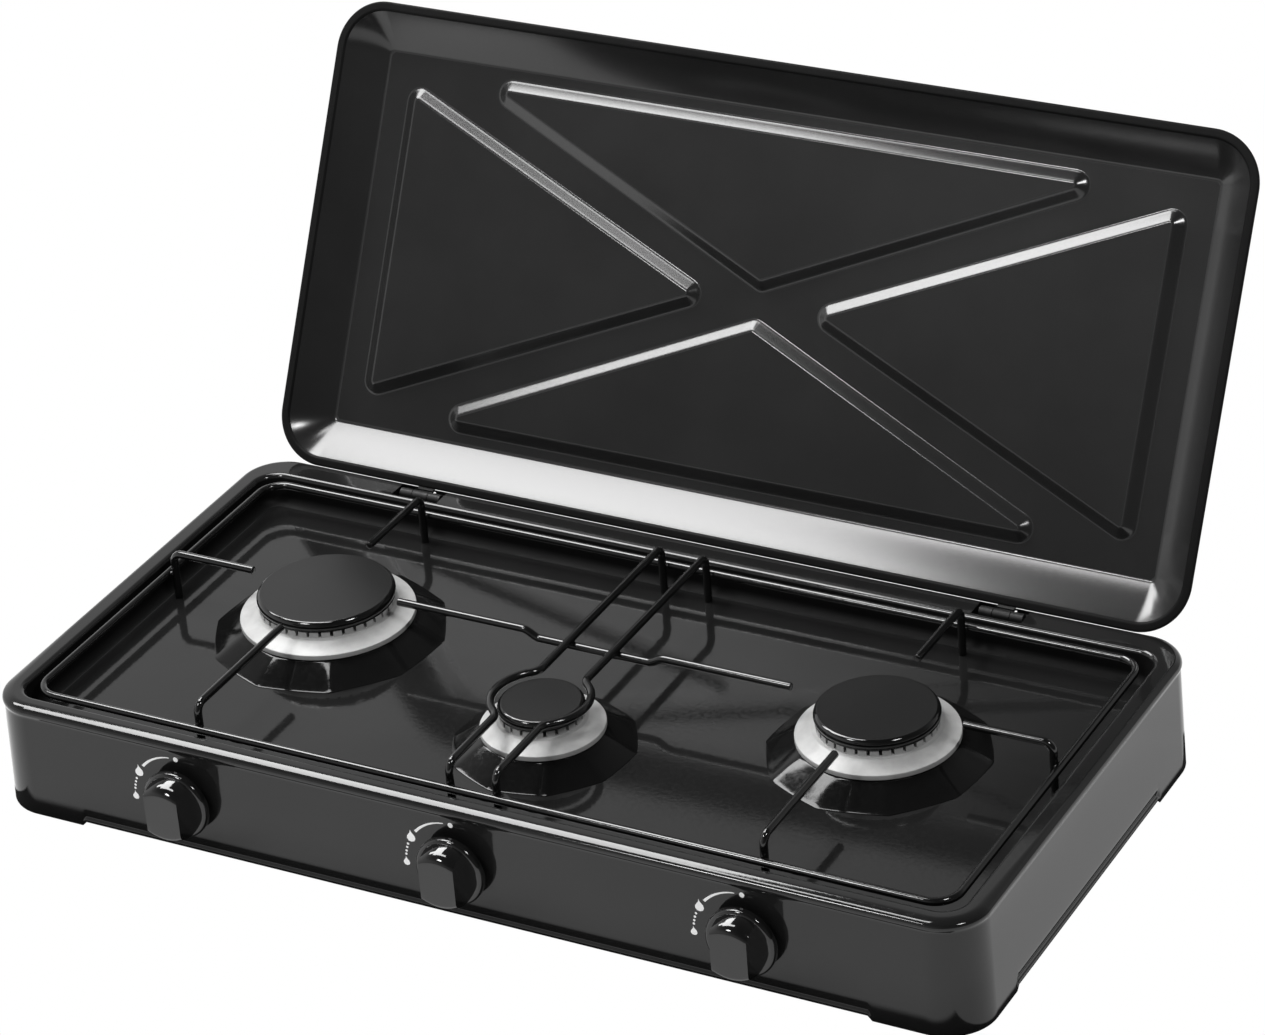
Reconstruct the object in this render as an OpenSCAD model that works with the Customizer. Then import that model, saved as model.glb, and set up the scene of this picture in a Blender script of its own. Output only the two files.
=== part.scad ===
// Three-burner tabletop gas stove with a hinged lid, shown with the lid open.
// X runs to the right, Y to the rear, Z up from the surface that the stove stands on.

/* [Body] */
// Width over the rim
body_w = 590; // [540:1:640]
// Depth over the rim
body_d = 287; // [275:1:310]
// Height of the rim above the ground
body_h = 68; // [66:0.5:76]
// Thickness of the enamelled sheet
sheet = 1; // [0.8:0.1:1.2]
// Plan radius of the rim's corners
corner_r = 26; // [25:0.5:30]
// Width of the rim
rim_w = 13; // [12:0.5:14]
// Extra width of the rim at the rear, behind the lid
rear_over = 6.3; // [4:0.1:6.5]
// Roundover on the rim's outer edge
rim_r = 4; // [3:0.5:5]
// Roundover on the rim's inner edge
rim_inner_r = 3; // [2:0.5:4]
// Depth of the tray below the rim
tray_depth = 18; // [16:0.5:20]
// Fillet where the tray's wall meets its floor
tray_r = 6; // [4:0.5:7]
// Set-back of the skirt under the rim's bead
skirt_inset = 0.8; // [0.4:0.1:1.5]
// Outward flare of the skirt, in degrees
skirt_flare = 1.8; // [0:0.1:2.5]
// Height of the skirt's hem above the ground, between the feet
hem_h = 2.6; // [2:0.2:6]
// Length of a corner foot along the front
foot_x = 56; // [45:1:70]
// Length of a corner foot along the side
foot_y = 50; // [40:1:60]

/* [Lid] */
// Set-in of the lid from each end of the rim
lid_end_in = 7.5; // [6:0.5:9]
// Set-in of the lid from the rim's front and rear edges
lid_edge_in = 6.5; // [5.5:0.5:7.5]
// Inner depth of the lid's dish
lid_h = 17.5; // [17:0.5:22]
// Extra plan radius of the lid's corners over the cove's width
lid_corner_over = 2; // [1.5:0.5:6]
// Radius of the cove round the lid's border
cove_r = 26; // [24:0.5:28]
// Width of the coved border
cove_w = 28; // [27:0.5:28.4]
// How far the lid opens, in degrees from closed
lid_angle = 118; // [95:1:120]
// Height of the pressed triangles
press_h = 2.6; // [1.5:0.1:3]
// Width of the triangles' sloped sides
press_slope = 4.5; // [3:0.5:6]

/* [Hinges] */
// Distance of each hinge from the body's end
hinge_in = 111; // [90:1:140]
// Width of the notch in the rear rim
notch_w = 30; // [26:1:36]
// Diameter of the hinge pin
pin_d = 3; // [2.5:0.1:3.4]
// Outer diameter of the knuckles
knuckle_d = 6; // [5.6:0.1:6.4]
// Length of the lid leaf's knuckle
leaf_knuckle_l = 10; // [8:0.5:12]
// Pivot's set-in from the rear edge of the rim
pivot_in = 1.5; // [1:0.1:2]
// Pivot's drop below the top of the rim
pivot_drop = 2.8; // [2.4:0.1:3.2]

/* [Grate] */
// Diameter of the grate's wire
wire_d = 4.5; // [4:0.1:5]
// Gap between the frame wire's centreline and the rim's outer edge
frame_inset = 20; // [19:0.5:22]
// Height of the frame wire's centreline above the tray's floor
frame_lift = 16; // [12:0.5:18]
// Height of the pan supports' centreline above the tray's floor
support_lift = 29; // [28:0.5:30]
// Bend radius of the wire at its legs
bend_r = 5.5; // [4:0.5:7]
// Reach of a finger's tip from the middle of the large burner
large_tip_r = 47; // [42:0.5:52]
// Reach of a finger's tip from the middle of the medium burner
medium_tip_r = 50; // [42:0.5:54]
// Distance of each long rail from the small burner's axis
rail_x = 14; // [12:0.5:16]
// Radius of the rails' loop round the small burner's cap
loop_r = 27; // [26:0.5:30]
// Radius of the bends that lead into the loop
loop_bend_r = 9; // [7:0.5:11]

/* [Burners] */
// Distance of the outer burners, and of their knobs, from the body's ends
burner_in = 125; // [115:1:130]
// Offset of the outer burners to the rear
outer_burner_y = 14; // [5:1:20]
// Offset of the small burner to the front
small_burner_y = 45; // [40:1:48]
// Diameter of the large cap
large_cap_d = 78; // [72:0.5:82]
// Diameter of the small cap
small_cap_d = 47.5; // [45:0.5:48.5]
// Diameter of the medium cap
medium_cap_d = 68; // [62:0.5:72]
// Width of the crown's ledge outside its cap
crown_ledge = 10.5; // [9:0.5:12]
// Width of the drip ring's cone outside its crown
ring_cone = 16; // [13:0.5:18]
// Height of the drip ring above the tray's floor
ring_h = 10.5; // [9:0.5:12]
// Height of the crown above the drip ring
crown_h = 11; // [9:0.5:11.5]
// Thickness of a cap
cap_t = 6; // [5:0.5:6.5]
// Set-in of the cup's wall from its cap's edge
cup_set_in = 9.5; // [8:0.5:10]
// Wall of the cup
cup_wall = 2; // [1.5:0.1:2.5]
// Width of a flame slot
slot_w = 1.8; // [1.4:0.1:2.2]
// Depth of a flame slot
slot_h = 3; // [2:0.5:4]

/* [Gas] */
// Height of the knobs' axes above the middle of the front panel
knob_rise = 0; // [-1:0.5:2]
// Outer diameter of the mixing tubes
tube_d = 16; // [14:0.5:18]
// Wall of the mixing tubes
tube_wall = 1; // [0.8:0.1:1.5]
// Diameter of the tap bodies
tap_d = 17; // [16:0.5:19]
// Length of the tap bodies
tap_l = 30; // [28:0.5:32]
// Diameter of the tap spindles
spindle_d = 6; // [5:0.5:7]
// Outer diameter of the gas rail
rail_d = 12; // [10:0.5:13]
// Height of the gas rail's axis above the ground
rail_z = 15; // [14:0.5:16]
// Distance of the hose inlet from the body's end
inlet_in = 63; // [59:1:69]
// Outer diameter of the hose spigot
spigot_d = 9; // [8:0.5:10]
// Length of the hose spigot
spigot_l = 22; // [18:1:28]

/* [Knobs] */
// Diameter of a knob's disc
knob_d = 40; // [36:0.5:42]
// Thickness of a knob's disc
disc_t = 5; // [4:0.5:8]
// Length of the grip in front of the disc
grip_l = 11.5; // [10:0.5:15]
// Width of the grip
grip_w = 21; // [18:0.5:23]
// Height of the grip's flat face
grip_face = 25; // [22:0.5:28]
// Gap between a knob and the front panel
knob_gap = 4; // [3.8:0.1:6]
// Push travel of a knob
push = 3; // [2:0.1:3.4]

/* [Hidden] */
$fn = 64;

// Clearances: a loose seat, a free slide, a running fit, a weld's bite and a cut's overrun
seat_gap = 0.2;
slide_gap = 0.3;
run_gap = 0.05;
weld_bite = 0.4;
eps = 1;

// Heights of the body
floor_z = body_h - tray_depth;
under_z = floor_z - sheet;
bead_h = 2;
skirt_top_z = body_h - rim_r - bead_h;
wall_slope = 1.5;
tray_edge = rim_w + wall_slope + tray_r;
function skirt_at(z) = skirt_inset - (skirt_top_z - z) * tan(skirt_flare);

// Lid: its size, its rest on the rim, its hem and the margins of its pressed triangles
lid_w = body_w - 2 * lid_end_in;
lid_d = body_d - 2 * lid_edge_in;
lid_gap = 0.4;
lid_z = body_h + lid_gap;
lid_corner_r = cove_w + lid_corner_over;
hem_t = 2;
hem_w = cove_w - sqrt(pow(cove_r, 2) - pow(hem_t - lid_h + cove_r, 2));
hem_c = 0.5;
cove_start = 180 - acos((cove_w - hem_w) / cove_r);
cove_mid = [lid_d / 2 - cove_w, lid_z + lid_h - cove_r];
side_margin = [47.5, 47];
side_tip = 36;
end_margin = [101.5, 41];
end_tip = 11.5;
side_at = [lid_w / 2, lid_d / 2] - side_margin;
end_at = [lid_w / 2, lid_d / 2] - end_margin;
press_shapes = [
    [-side_at, [-side_tip, 0], [-side_at[0], side_at[1]]],
    [side_at, [side_tip, 0], [side_at[0], -side_at[1]]],
    [[end_at[0], -end_at[1]], [0, -end_tip], -end_at],
    [[-end_at[0], end_at[1]], [0, end_tip], end_at]
];

// Hinges
hinge_x = body_w / 2 - hinge_in;
rear_y = body_d / 2 + rear_over;
pivot_y = body_d / 2 - pivot_in;
pivot_z = body_h - pivot_drop;
plate_t = 1.2;
knuckle_gap = 0.4;
bracket_l = notch_w - 4;
bracket_h = 22;
bracket_up = 4;
ear_l = (bracket_l - leaf_knuckle_l) / 2 - knuckle_gap;
ear_t = 2.6;
notch_z = pivot_z - knuckle_d;
wall_z = skirt_top_z - knuckle_d;
leaf_r = cove_r + sheet - run_gap;
leaf_from = 22;
leaf_to = 62;
leaf_root_a = 6;
leaf_root_w = 1;
leaf_root_in = 0.3;
rivet_d = 3;
rivet_head_d = 6;
rivet_crown_d = 4;
rivet_tail_d = 5;
rivet_head_t = 1.2;
rivet_x = 7;
rivet_drop = 10;

// Grate
frame_w = body_w - 2 * frame_inset;
frame_d = body_d - 2 * frame_inset;
frame_ease = 1;
frame_corner_r = corner_r - rim_w + frame_ease;
frame_z = floor_z + frame_lift;
support_z = floor_z + support_lift;
leg_x = frame_w / 2 - wire_d + weld_bite;
leg_y = frame_d / 2 - wire_d + weld_bite;
leg_foot_z = floor_z + slide_gap;
cross_drop = wire_d - weld_bite;
joint_swell = 0.03;
joint_l = 0.6;
cross_bend_r = 8;
cross_bend_a = acos(1 - cross_drop / (2 * cross_bend_r));
cross_flat = 19;
cross_mid = rail_x + cross_flat;
loop_y = sqrt((loop_r - rail_x) * (loop_r + rail_x + 2 * loop_bend_r));
loop_a = atan2(loop_y, rail_x + loop_bend_r);

// Burner rows: X, Y, cap diameter, number of flame slots
burner_x = body_w / 2 - burner_in;
large = [-burner_x, outer_burner_y, large_cap_d, 36];
small = [0, -small_burner_y, small_cap_d, 22];
medium = [burner_x, outer_burner_y, medium_cap_d, 32];
function cap_r(b) = b[2] / 2;
function crown_r(b) = cap_r(b) + crown_ledge;
function ring_r(b) = crown_r(b) + ring_cone;
function cup_r(b) = cap_r(b) - cup_set_in;
function bore_r(b) = cup_r(b) - cup_wall;
function screw_places(b) = [for (s = [-1, 1]) [b[0] + s * (cup_r(b) + flange_w / 2), b[1]]];
ring_t = 1.2;
ring_foot = 1.9;
ring_edge = 0.4;
ring_fold = 1;
ring_z = floor_z + ring_h;
crown_z = ring_z + seat_gap;
crown_edge = 3;
crown_lip = 2;
crown_spigot = 7;
crown_step = 1;
tooth_w = 5;
cap_z = crown_z + crown_h + seat_gap;
cap_round = 2.5;
cap_boss = 5;
cap_taper = 6;
flange_w = 12;
flange_t = 2;
screw_d = 4;
screw_head_d = 7;
screw_head_t = 2.2;
cup_under = 3;
knob_z = body_h / 2 + knob_rise;
cup_floor_z = knob_z - tube_d / 2 - cup_under;

// Gas
knob_x = burner_x;
inlet_x = body_w / 2 - inlet_in;
panel_y = -body_d / 2 + skirt_at(knob_z);
tap_set_back = 12;
tap_front_y = panel_y + tap_set_back;
tap_back_y = tap_front_y + tap_l;
tap_neck_d = 8;
washer_t = 1.5;
washer_d = 13;
washer_y = tap_front_y - push - slide_gap;
spindle_in = 14;
spindle_room = 2;
spindle_hole_d = spindle_d + 2 * spindle_room;
tap_bore_l = spindle_in + push + eps;
injector_d = 8;
injector_nose_d = 6;
injector_l = 9;
injector_nose = 4;
jet_d = 0.9;
tube_front_y = tap_back_y + injector_l - injector_nose;
bell_flare = 2.5;
bell_d = tube_d + 2 * bell_flare;
bell_l = 6;
tube_end = 1.5;
rail_y = tap_front_y + tap_l / 2;
rail_over = 22;
rail_ends = [-knob_x - rail_over, inlet_x + rail_over];
rail_wall = 1.5;
plug_t = 2;
plug_in = 6;
feed_d = 8;
feed_wall = 1;
feed_in = 7;
inlet_y = rear_y - skirt_at(rail_z);
nozzle_d = 12;
nozzle_in = 14;
nozzle_y = inlet_y - sheet - nozzle_in;
hex_d = 18;
hex_t = 6;
nut_t = 5;
gas_bore_d = 5;
hanger_x = 85;
hanger_w = 24;
hanger_t = 2;

// Knobs
knob_back_y = panel_y - knob_gap;
knob_l = disc_t + grip_l;
knob_edge_r = 2;
knob_socket = 4;
knob_hold = disc_t + knob_socket;
flat_cut = 1;
knob_flat = spindle_d / 2 - flat_cut;

// The whole is set so that its footprint, from the knobs to the open lid, is centred on the origin
lid_back_y = pivot_y
    - (cove_mid[0] + pivot_y) * cos(lid_angle)
    + (cove_mid[1] - pivot_z) * sin(lid_angle) + cove_r + sheet;
mid_y = (knob_back_y - knob_l + lid_back_y) / 2;

function arc(c, r, a0, a1, n = 6) =
    [for (i = [0:n]) c + r * [cos(a0 + (a1 - a0) * i / n), sin(a0 + (a1 - a0) * i / n)]];
function reversed(p) = [for (i = [len(p) - 1:-1:0]) p[i]];

module placed() {
    translate([0, -mid_y, 0]) children();
}

// Turns what is drawn on the closed lid about the hinge pins to the open lid
module opened() {
    placed() translate([0, pivot_y, pivot_z]) rotate([-lid_angle, 0, 0])
        translate([0, -pivot_y, -pivot_z]) children();
}

// Runs a profile, drawn as inward distance and height, round a rounded rectangle
module swept(w, d, r) {
    for (i = [0:3]) {
        side = i % 2 == 0 ? [w, d] : [d, w];
        rotate(90 * i) translate([r - side[0] / 2, -side[1] / 2, 0])
            rotate([90, 0, 90]) linear_extrude(side[0] - 2 * r) children();
        rotate(90 * i) translate([side[0] / 2 - r, side[1] / 2 - r, 0])
            rotate_extrude(angle = 90) translate([r, 0]) mirror([1, 0]) children();
    }
}

module rounded_slab(w, d, r, t) {
    linear_extrude(t) {
        square([w - 2 * r, d], center = true);
        square([w, d - 2 * r], center = true);
        for (x = [-1, 1], y = [-1, 1]) translate([x * (w / 2 - r), y * (d / 2 - r)]) circle(r);
    }
}

// A cylinder along Y from the given point towards the rear
module along_y(at, d, l) {
    translate(at) rotate([-90, 0, 0]) cylinder(d = d, h = l);
}

// A cylinder along X, centred on the given point
module along_x(at, d, l) {
    translate(at) rotate([0, 90, 0]) cylinder(d = d, h = l, center = true);
}

// A hexagon nut's blank along Y, by its width across flats
module hex_y(at, flats, l) {
    translate(at) rotate([-90, 0, 0]) cylinder(d = flats / cos(30), h = l, $fn = 6);
}

// The skirt and the outer half of the rim
module skirt_profile() {
    function skin(o) = concat(
        [[skirt_at(0) + o, 0], [skirt_inset + o, skirt_top_z]],
        arc([rim_r, body_h - rim_r], rim_r - o, 180, 90),
        [[rim_w / 2 + eps, body_h - o]]);
    polygon(concat(skin(0), reversed(skin(sheet))));
}

// The inner half of the rim and the tray's wall
module wall_profile() {
    function skin(o) = concat(
        [[rim_w / 2, body_h - o]],
        arc([rim_w - rim_inner_r, body_h - rim_inner_r], rim_inner_r - o, 90, 0),
        arc([tray_edge, floor_z + tray_r], tray_r + o, 180, 270),
        [[tray_edge + eps, floor_z - o]]);
    polygon(concat(skin(0), reversed(skin(sheet))));
}

// A rounded plate as large as the body less a given inset, reaching further back by a given amount
module inset_slab(inset, back, t) {
    translate([0, back / 2, 0])
        rounded_slab(body_w - 2 * inset, body_d + back - 2 * inset, corner_r - inset, t);
}

// The gap under the skirt between two feet, with sloped ends
module foot_gap(half, depth) {
    rotate([90, 0, 0]) linear_extrude(2 * depth, center = true)
        polygon([
            [-half - eps, -eps], [half + eps, -eps],
            [half - hem_h, hem_h], [hem_h - half, hem_h]]);
}

// The inner face of the rear skirt at a hinge, with its own Z along the skirt and +Y outwards
module on_rear_wall(x) {
    translate([x, rear_y - skirt_at(wall_z) - sheet, wall_z]) rotate([skirt_flare, 0, 0]) children();
}

module rivet_axes(x) {
    on_rear_wall(x) for (s = [-1, 1]) translate([s * rivet_x, 0, -rivet_drop])
        rotate([-90, 0, 0]) children();
}

module body_shell() color("#202022") placed() difference() {
    union() {
        translate([0, rear_over / 2, 0]) swept(body_w, body_d + rear_over, corner_r) skirt_profile();
        swept(body_w, body_d, corner_r) wall_profile();
        translate([0, 0, body_h - sheet]) difference() {
            inset_slab(rim_w / 2, rear_over, sheet);
            translate([0, 0, -eps]) inset_slab(rim_w / 2 + eps, 0, sheet + 2 * eps);
        }
        translate([0, 0, under_z]) inset_slab(tray_edge, 0, sheet);
    }
    foot_gap(body_w / 2 - foot_x, body_d);
    rotate(90) foot_gap(body_d / 2 - foot_y, body_w);
    for (b = [large, small, medium]) {
        translate([b[0], b[1], under_z - eps]) cylinder(r = cup_r(b) + slide_gap, h = sheet + 2 * eps);
        for (p = screw_places(b)) translate([p[0], p[1], under_z - eps])
            cylinder(d = screw_d + 2 * slide_gap, h = sheet + 2 * eps);
    }
    for (x = [-knob_x, 0, knob_x]) along_y([x, panel_y - eps, knob_z], spindle_hole_d, sheet + 2 * eps);
    along_y([inlet_x, inlet_y - sheet - eps, rail_z], nozzle_d + 2 * slide_gap, sheet + 2 * eps);
    for (x = [-hinge_x, hinge_x]) {
        translate([x - notch_w / 2, body_d / 2 - rim_w + rim_inner_r, notch_z])
            cube([notch_w, rim_w + rear_over, body_h - notch_z + eps]);
        rivet_axes(x) translate([0, 0, -eps]) cylinder(d = rivet_d, h = sheet + 2 * eps);
    }
}

module lid_profile() {
    c = [cove_w, lid_h - cove_r];
    polygon(concat(
        [[hem_c, 0], [0, hem_c], [0, hem_t - hem_c], [hem_c, hem_t]],
        arc(c, cove_r + sheet, cove_start, 90, 8),
        [[cove_w + eps, lid_h + sheet], [cove_w + eps, lid_h]],
        arc(c, cove_r, 90, cove_start, 8),
        [[hem_w, 0]]));
}

// A pressed triangle: its base lies at height 0 and its smaller face at -press_h
module pressed(p) {
    side = [for (i = [0:2]) norm(p[(i + 1) % 3] - p[i])];
    half = (side[0] + side[1] + side[2]) / 2;
    area = sqrt(half * (half - side[0]) * (half - side[1]) * (half - side[2]));
    heart = (side[1] * p[0] + side[2] * p[1] + side[0] * p[2]) / (2 * half);
    shrink = 1 - press_slope * half / area;
    low = [for (q = p) heart + shrink * (q - heart)];
    polyhedron(
        points = concat([for (q = p) [q[0], q[1], 0]], [for (q = low) [q[0], q[1], -press_h]]),
        faces = [[2, 1, 0], [3, 4, 5], [0, 1, 4, 3], [1, 2, 5, 4], [2, 0, 3, 5]]);
}

module lid_panel() color("#202022") opened() translate([0, 0, lid_z]) difference() {
    union() {
        swept(lid_w, lid_d, lid_corner_r) lid_profile();
        translate([0, 0, lid_h])
            rounded_slab(lid_w - 2 * cove_w, lid_d - 2 * cove_w, lid_corner_r - cove_w, sheet);
        for (p = press_shapes) translate([0, 0, lid_h]) pressed(p);
    }
    for (p = press_shapes) translate([0, 0, lid_h + sheet]) pressed(p);
}

// One knuckle of a hinge bracket with the arm that carries it
module bracket_ear() {
    along_x([0, pivot_y, pivot_z], knuckle_d, ear_l);
    translate([-ear_l / 2, pivot_y - knuckle_d / 2, notch_z]) cube([ear_l, ear_t + rear_over, knuckle_d]);
}

module hinge_bracket(x) difference() {
    union() {
        on_rear_wall(x) translate([-bracket_l / 2, -plate_t, bracket_up - bracket_h])
            cube([bracket_l, plate_t, bracket_h]);
        for (s = [-1, 1]) translate([x + s * (bracket_l - ear_l) / 2, 0, 0]) bracket_ear();
    }
    along_x([x, pivot_y, pivot_z], pin_d, bracket_l + 2 * eps);
    rivet_axes(x) translate([0, 0, -plate_t - eps]) cylinder(d = rivet_d, h = plate_t + 2 * eps);
}

module left_hinge_bracket() color("#39393b") placed() hinge_bracket(-hinge_x);
module right_hinge_bracket() color("#39393b") placed() hinge_bracket(hinge_x);

module hinge_leaf(x) difference() {
    union() {
        along_x([x, pivot_y, pivot_z], knuckle_d, leaf_knuckle_l);
        translate([x - leaf_knuckle_l / 2, 0, 0]) rotate([90, 0, 90]) linear_extrude(leaf_knuckle_l)
            polygon(concat(
                arc(cove_mid, leaf_r, leaf_from, leaf_to, 8),
                arc(cove_mid, leaf_r + plate_t, leaf_to, leaf_from + leaf_root_a, 8),
                [[pivot_y + leaf_root_w, pivot_z + knuckle_d / 2 - leaf_root_in],
                    [pivot_y - leaf_root_w, pivot_z + knuckle_d / 2 - 2 * leaf_root_in]]));
    }
    along_x([x, pivot_y, pivot_z], pin_d + 2 * run_gap, leaf_knuckle_l + 2 * eps);
}

module left_hinge_leaf() color("#39393b") opened() hinge_leaf(-hinge_x);
module right_hinge_leaf() color("#39393b") opened() hinge_leaf(hinge_x);

module hinge_pin(x) {
    along_x([x, pivot_y, pivot_z], pin_d, bracket_l + eps);
}

module left_hinge_pin() color("#8d8d90") placed() hinge_pin(-hinge_x);
module right_hinge_pin() color("#8d8d90") placed() hinge_pin(hinge_x);

module bracket_rivets() color("#8d8d90") placed() for (x = [-hinge_x, hinge_x]) rivet_axes(x) {
    translate([0, 0, -plate_t - rivet_head_t]) cylinder(d = rivet_tail_d, h = rivet_head_t);
    translate([0, 0, -plate_t]) cylinder(d = rivet_d, h = plate_t + sheet);
    translate([0, 0, sheet]) cylinder(d1 = rivet_head_d, d2 = rivet_crown_d, h = rivet_head_t);
}

// A rod of the grate's wire, of a given length along X from a point
module wire_x(at, l) {
    translate(at) rotate([0, 90, 0]) cylinder(d = wire_d, h = l);
}

// A bend of wire in the level plane about a point, from angle a0 through angle a
module level_bend(at, r, a0, a) {
    translate(at) rotate(a0) rotate_extrude(angle = a) translate([r, 0]) circle(d = wire_d);
}

// A hair-thin collar, turned to the wire's run, that joins two stretches of bent wire
module wire_joint(at, turn) {
    translate(at) rotate(turn) cylinder(d = wire_d + joint_swell, h = joint_l, center = true);
}

// A bend of wire in the upright plane of X and Z
module upright_bend(at, r, a0, a) {
    translate(at) rotate([90, 0, 0]) level_bend([0, 0, 0], r, a0, a);
}

// A finger whose leg stands at the origin and whose tip lies at distance reach along +X
module finger(reach) {
    translate([0, 0, leg_foot_z]) cylinder(d = wire_d, h = support_z - bend_r - leg_foot_z);
    upright_bend([bend_r, 0, support_z - bend_r], bend_r, 90, 90);
    wire_x([bend_r, 0, support_z], reach - bend_r);
}

// A long side of the grate's frame
module frame_bar(y) {
    wire_x([frame_corner_r - frame_w / 2, y, frame_z], frame_w - 2 * frame_corner_r);
}

module frame_front_bar() color("#18181a") placed() frame_bar(-frame_d / 2);
module frame_rear_bar() color("#18181a") placed() frame_bar(frame_d / 2);

// The right-hand end of the grate's frame with its two corners
module frame_end() {
    corner = [frame_w, frame_d] / 2 - [frame_corner_r, frame_corner_r];
    rotate(90) wire_x([-corner[1], -frame_w / 2, frame_z], 2 * corner[1]);
    level_bend([corner[0], corner[1], frame_z], frame_corner_r, 0, 90);
    level_bend([corner[0], -corner[1], frame_z], frame_corner_r, 270, 90);
}

module frame_left_end() color("#18181a") placed() mirror([1, 0, 0]) frame_end();
module frame_right_end() color("#18181a") placed() frame_end();

// Half of the cross wire, from the middle to a tip at distance reach along +X
module half_cross(reach) {
    step = 2 * cross_bend_r * sin(cross_bend_a);
    wire_x([0, 0, -cross_drop], cross_mid);
    upright_bend([cross_mid, 0, cross_bend_r - cross_drop], cross_bend_r, -90, cross_bend_a);
    upright_bend([cross_mid + step, 0, -cross_bend_r], cross_bend_r, 90, cross_bend_a);
    wire_x([cross_mid + step, 0, 0], reach - cross_mid - step);
    for (t = [0, 1]) wire_joint([cross_mid + t * step, 0, (t - 1) * cross_drop], [0, 90, 0]);
    wire_joint([cross_mid + step / 2, 0, -cross_drop / 2], [0, 90 - cross_bend_a, 0]);
}

module grate_cross_wire() color("#18181a") placed() translate([0, outer_burner_y, support_z]) {
    half_cross(burner_x - medium_tip_r);
    rotate(180) half_cross(burner_x - large_tip_r);
}

// The legs and straight stretches of the right-hand rail
module long_rail() {
    translate([rail_x, leg_y, 0]) rotate(-90) finger(leg_y + small_burner_y - loop_y);
    translate([rail_x, -leg_y, 0]) rotate(90) finger(leg_y - small_burner_y - loop_y);
}

module grate_left_rail() color("#18181a") placed() mirror([1, 0, 0]) long_rail();
module grate_right_rail() color("#18181a") placed() long_rail();

// The stretch of the right-hand rail that loops out round the small burner's cap
module rail_loop() {
    loop_at = [0, -small_burner_y, support_z];
    level_bend(loop_at + [rail_x + loop_bend_r, loop_y, 0], loop_bend_r, 180, loop_a);
    level_bend(loop_at, loop_r, -loop_a, 2 * loop_a);
    level_bend(loop_at + [rail_x + loop_bend_r, -loop_y, 0], loop_bend_r, 180 - loop_a, loop_a);
    for (s = [-1, 1]) wire_joint(loop_at + loop_r * [cos(loop_a), s * sin(loop_a), 0], [90, 0, s * loop_a]);
}

module left_rail_loop() color("#18181a") placed() mirror([1, 0, 0]) rail_loop();
module right_rail_loop() color("#18181a") placed() rail_loop();

// The three fingers of an outer burner, drawn for the one on the right
module finger_set(tip_r) {
    translate([leg_x, outer_burner_y, 0]) rotate(180) finger(leg_x - burner_x - tip_r);
    translate([burner_x, leg_y, 0]) rotate(-90) finger(leg_y - outer_burner_y - tip_r);
    translate([burner_x, -leg_y, 0]) rotate(90) finger(leg_y + outer_burner_y - tip_r);
}

module left_grate_fingers() color("#18181a") placed() mirror([1, 0, 0]) finger_set(large_tip_r);
module right_grate_fingers() color("#18181a") placed() finger_set(medium_tip_r);

module at_burner(b) {
    placed() translate([b[0], b[1], 0]) children();
}

// The cup under the tray, with the neck that carries the ring and the crown
module cup(b) at_burner(b) difference() {
    union() {
        translate([0, 0, cup_floor_z]) cylinder(r = cup_r(b), h = ring_z - ring_t - cup_floor_z);
        translate([0, 0, under_z - flange_t]) cylinder(r = cup_r(b) + flange_w, h = flange_t);
    }
    translate([0, 0, cup_floor_z + cup_wall]) cylinder(r = bore_r(b), h = ring_z - cup_floor_z);
    along_y([0, -cup_r(b) - eps, knob_z], tube_d + 2 * run_gap, cup_r(b) + eps);
    for (p = screw_places(b)) translate([p[0] - b[0], p[1] - b[1], under_z - flange_t - eps])
        cylinder(d = screw_d + 2 * run_gap, h = flange_t + 2 * eps);
}

module large_burner_cup() color("#a9a9ac") cup(large);
module small_burner_cup() color("#a9a9ac") cup(small);
module medium_burner_cup() color("#a9a9ac") cup(medium);

// The black cone that covers the hole in the tray
module drip_ring(b) at_burner(b) rotate_extrude() polygon([
    [cup_r(b) - cup_wall / 2, ring_z - ring_t], [crown_r(b) - crown_lip, ring_z - ring_t],
    [ring_r(b) - ring_foot, floor_z], [ring_r(b), floor_z], [ring_r(b), floor_z + ring_edge],
    [crown_r(b) - crown_lip + ring_fold, ring_z], [cup_r(b) - cup_wall / 2, ring_z]]);

module large_drip_ring() color("#1b1b1d") drip_ring(large);
module small_drip_ring() color("#1b1b1d") drip_ring(small);
module medium_drip_ring() color("#1b1b1d") drip_ring(medium);

// The aluminium crown: a spigot in the cup, a sloped ledge and a toothed ring under the cap
module crown(b) at_burner(b) difference() {
    spigot_r = bore_r(b) - slide_gap;
    tooth_r = cap_r(b) - crown_lip;
    rotate_extrude() polygon([
        [spigot_r - crown_lip, crown_z - crown_spigot], [spigot_r, crown_z - crown_spigot],
        [spigot_r, crown_z], [crown_r(b), crown_z], [crown_r(b), crown_z + crown_edge],
        [cap_r(b) + crown_step, crown_z + crown_h - slot_h - crown_step],
        [tooth_r, crown_z + crown_h - slot_h - crown_step],
        [tooth_r, crown_z + crown_h], [tooth_r - tooth_w, crown_z + crown_h],
        [spigot_r - crown_lip, crown_z + crown_edge]]);
    for (i = [0:b[3] - 1]) rotate(360 * (i + 0.5) / b[3])
        translate([tooth_r - tooth_w - eps, -slot_w / 2, crown_z + crown_h - slot_h])
            cube([tooth_w + 2 * eps, slot_w, slot_h + eps]);
}

module large_crown() color("#cfcfd2") crown(large);
module small_crown() color("#cfcfd2") crown(small);
module medium_crown() color("#cfcfd2") crown(medium);

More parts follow.
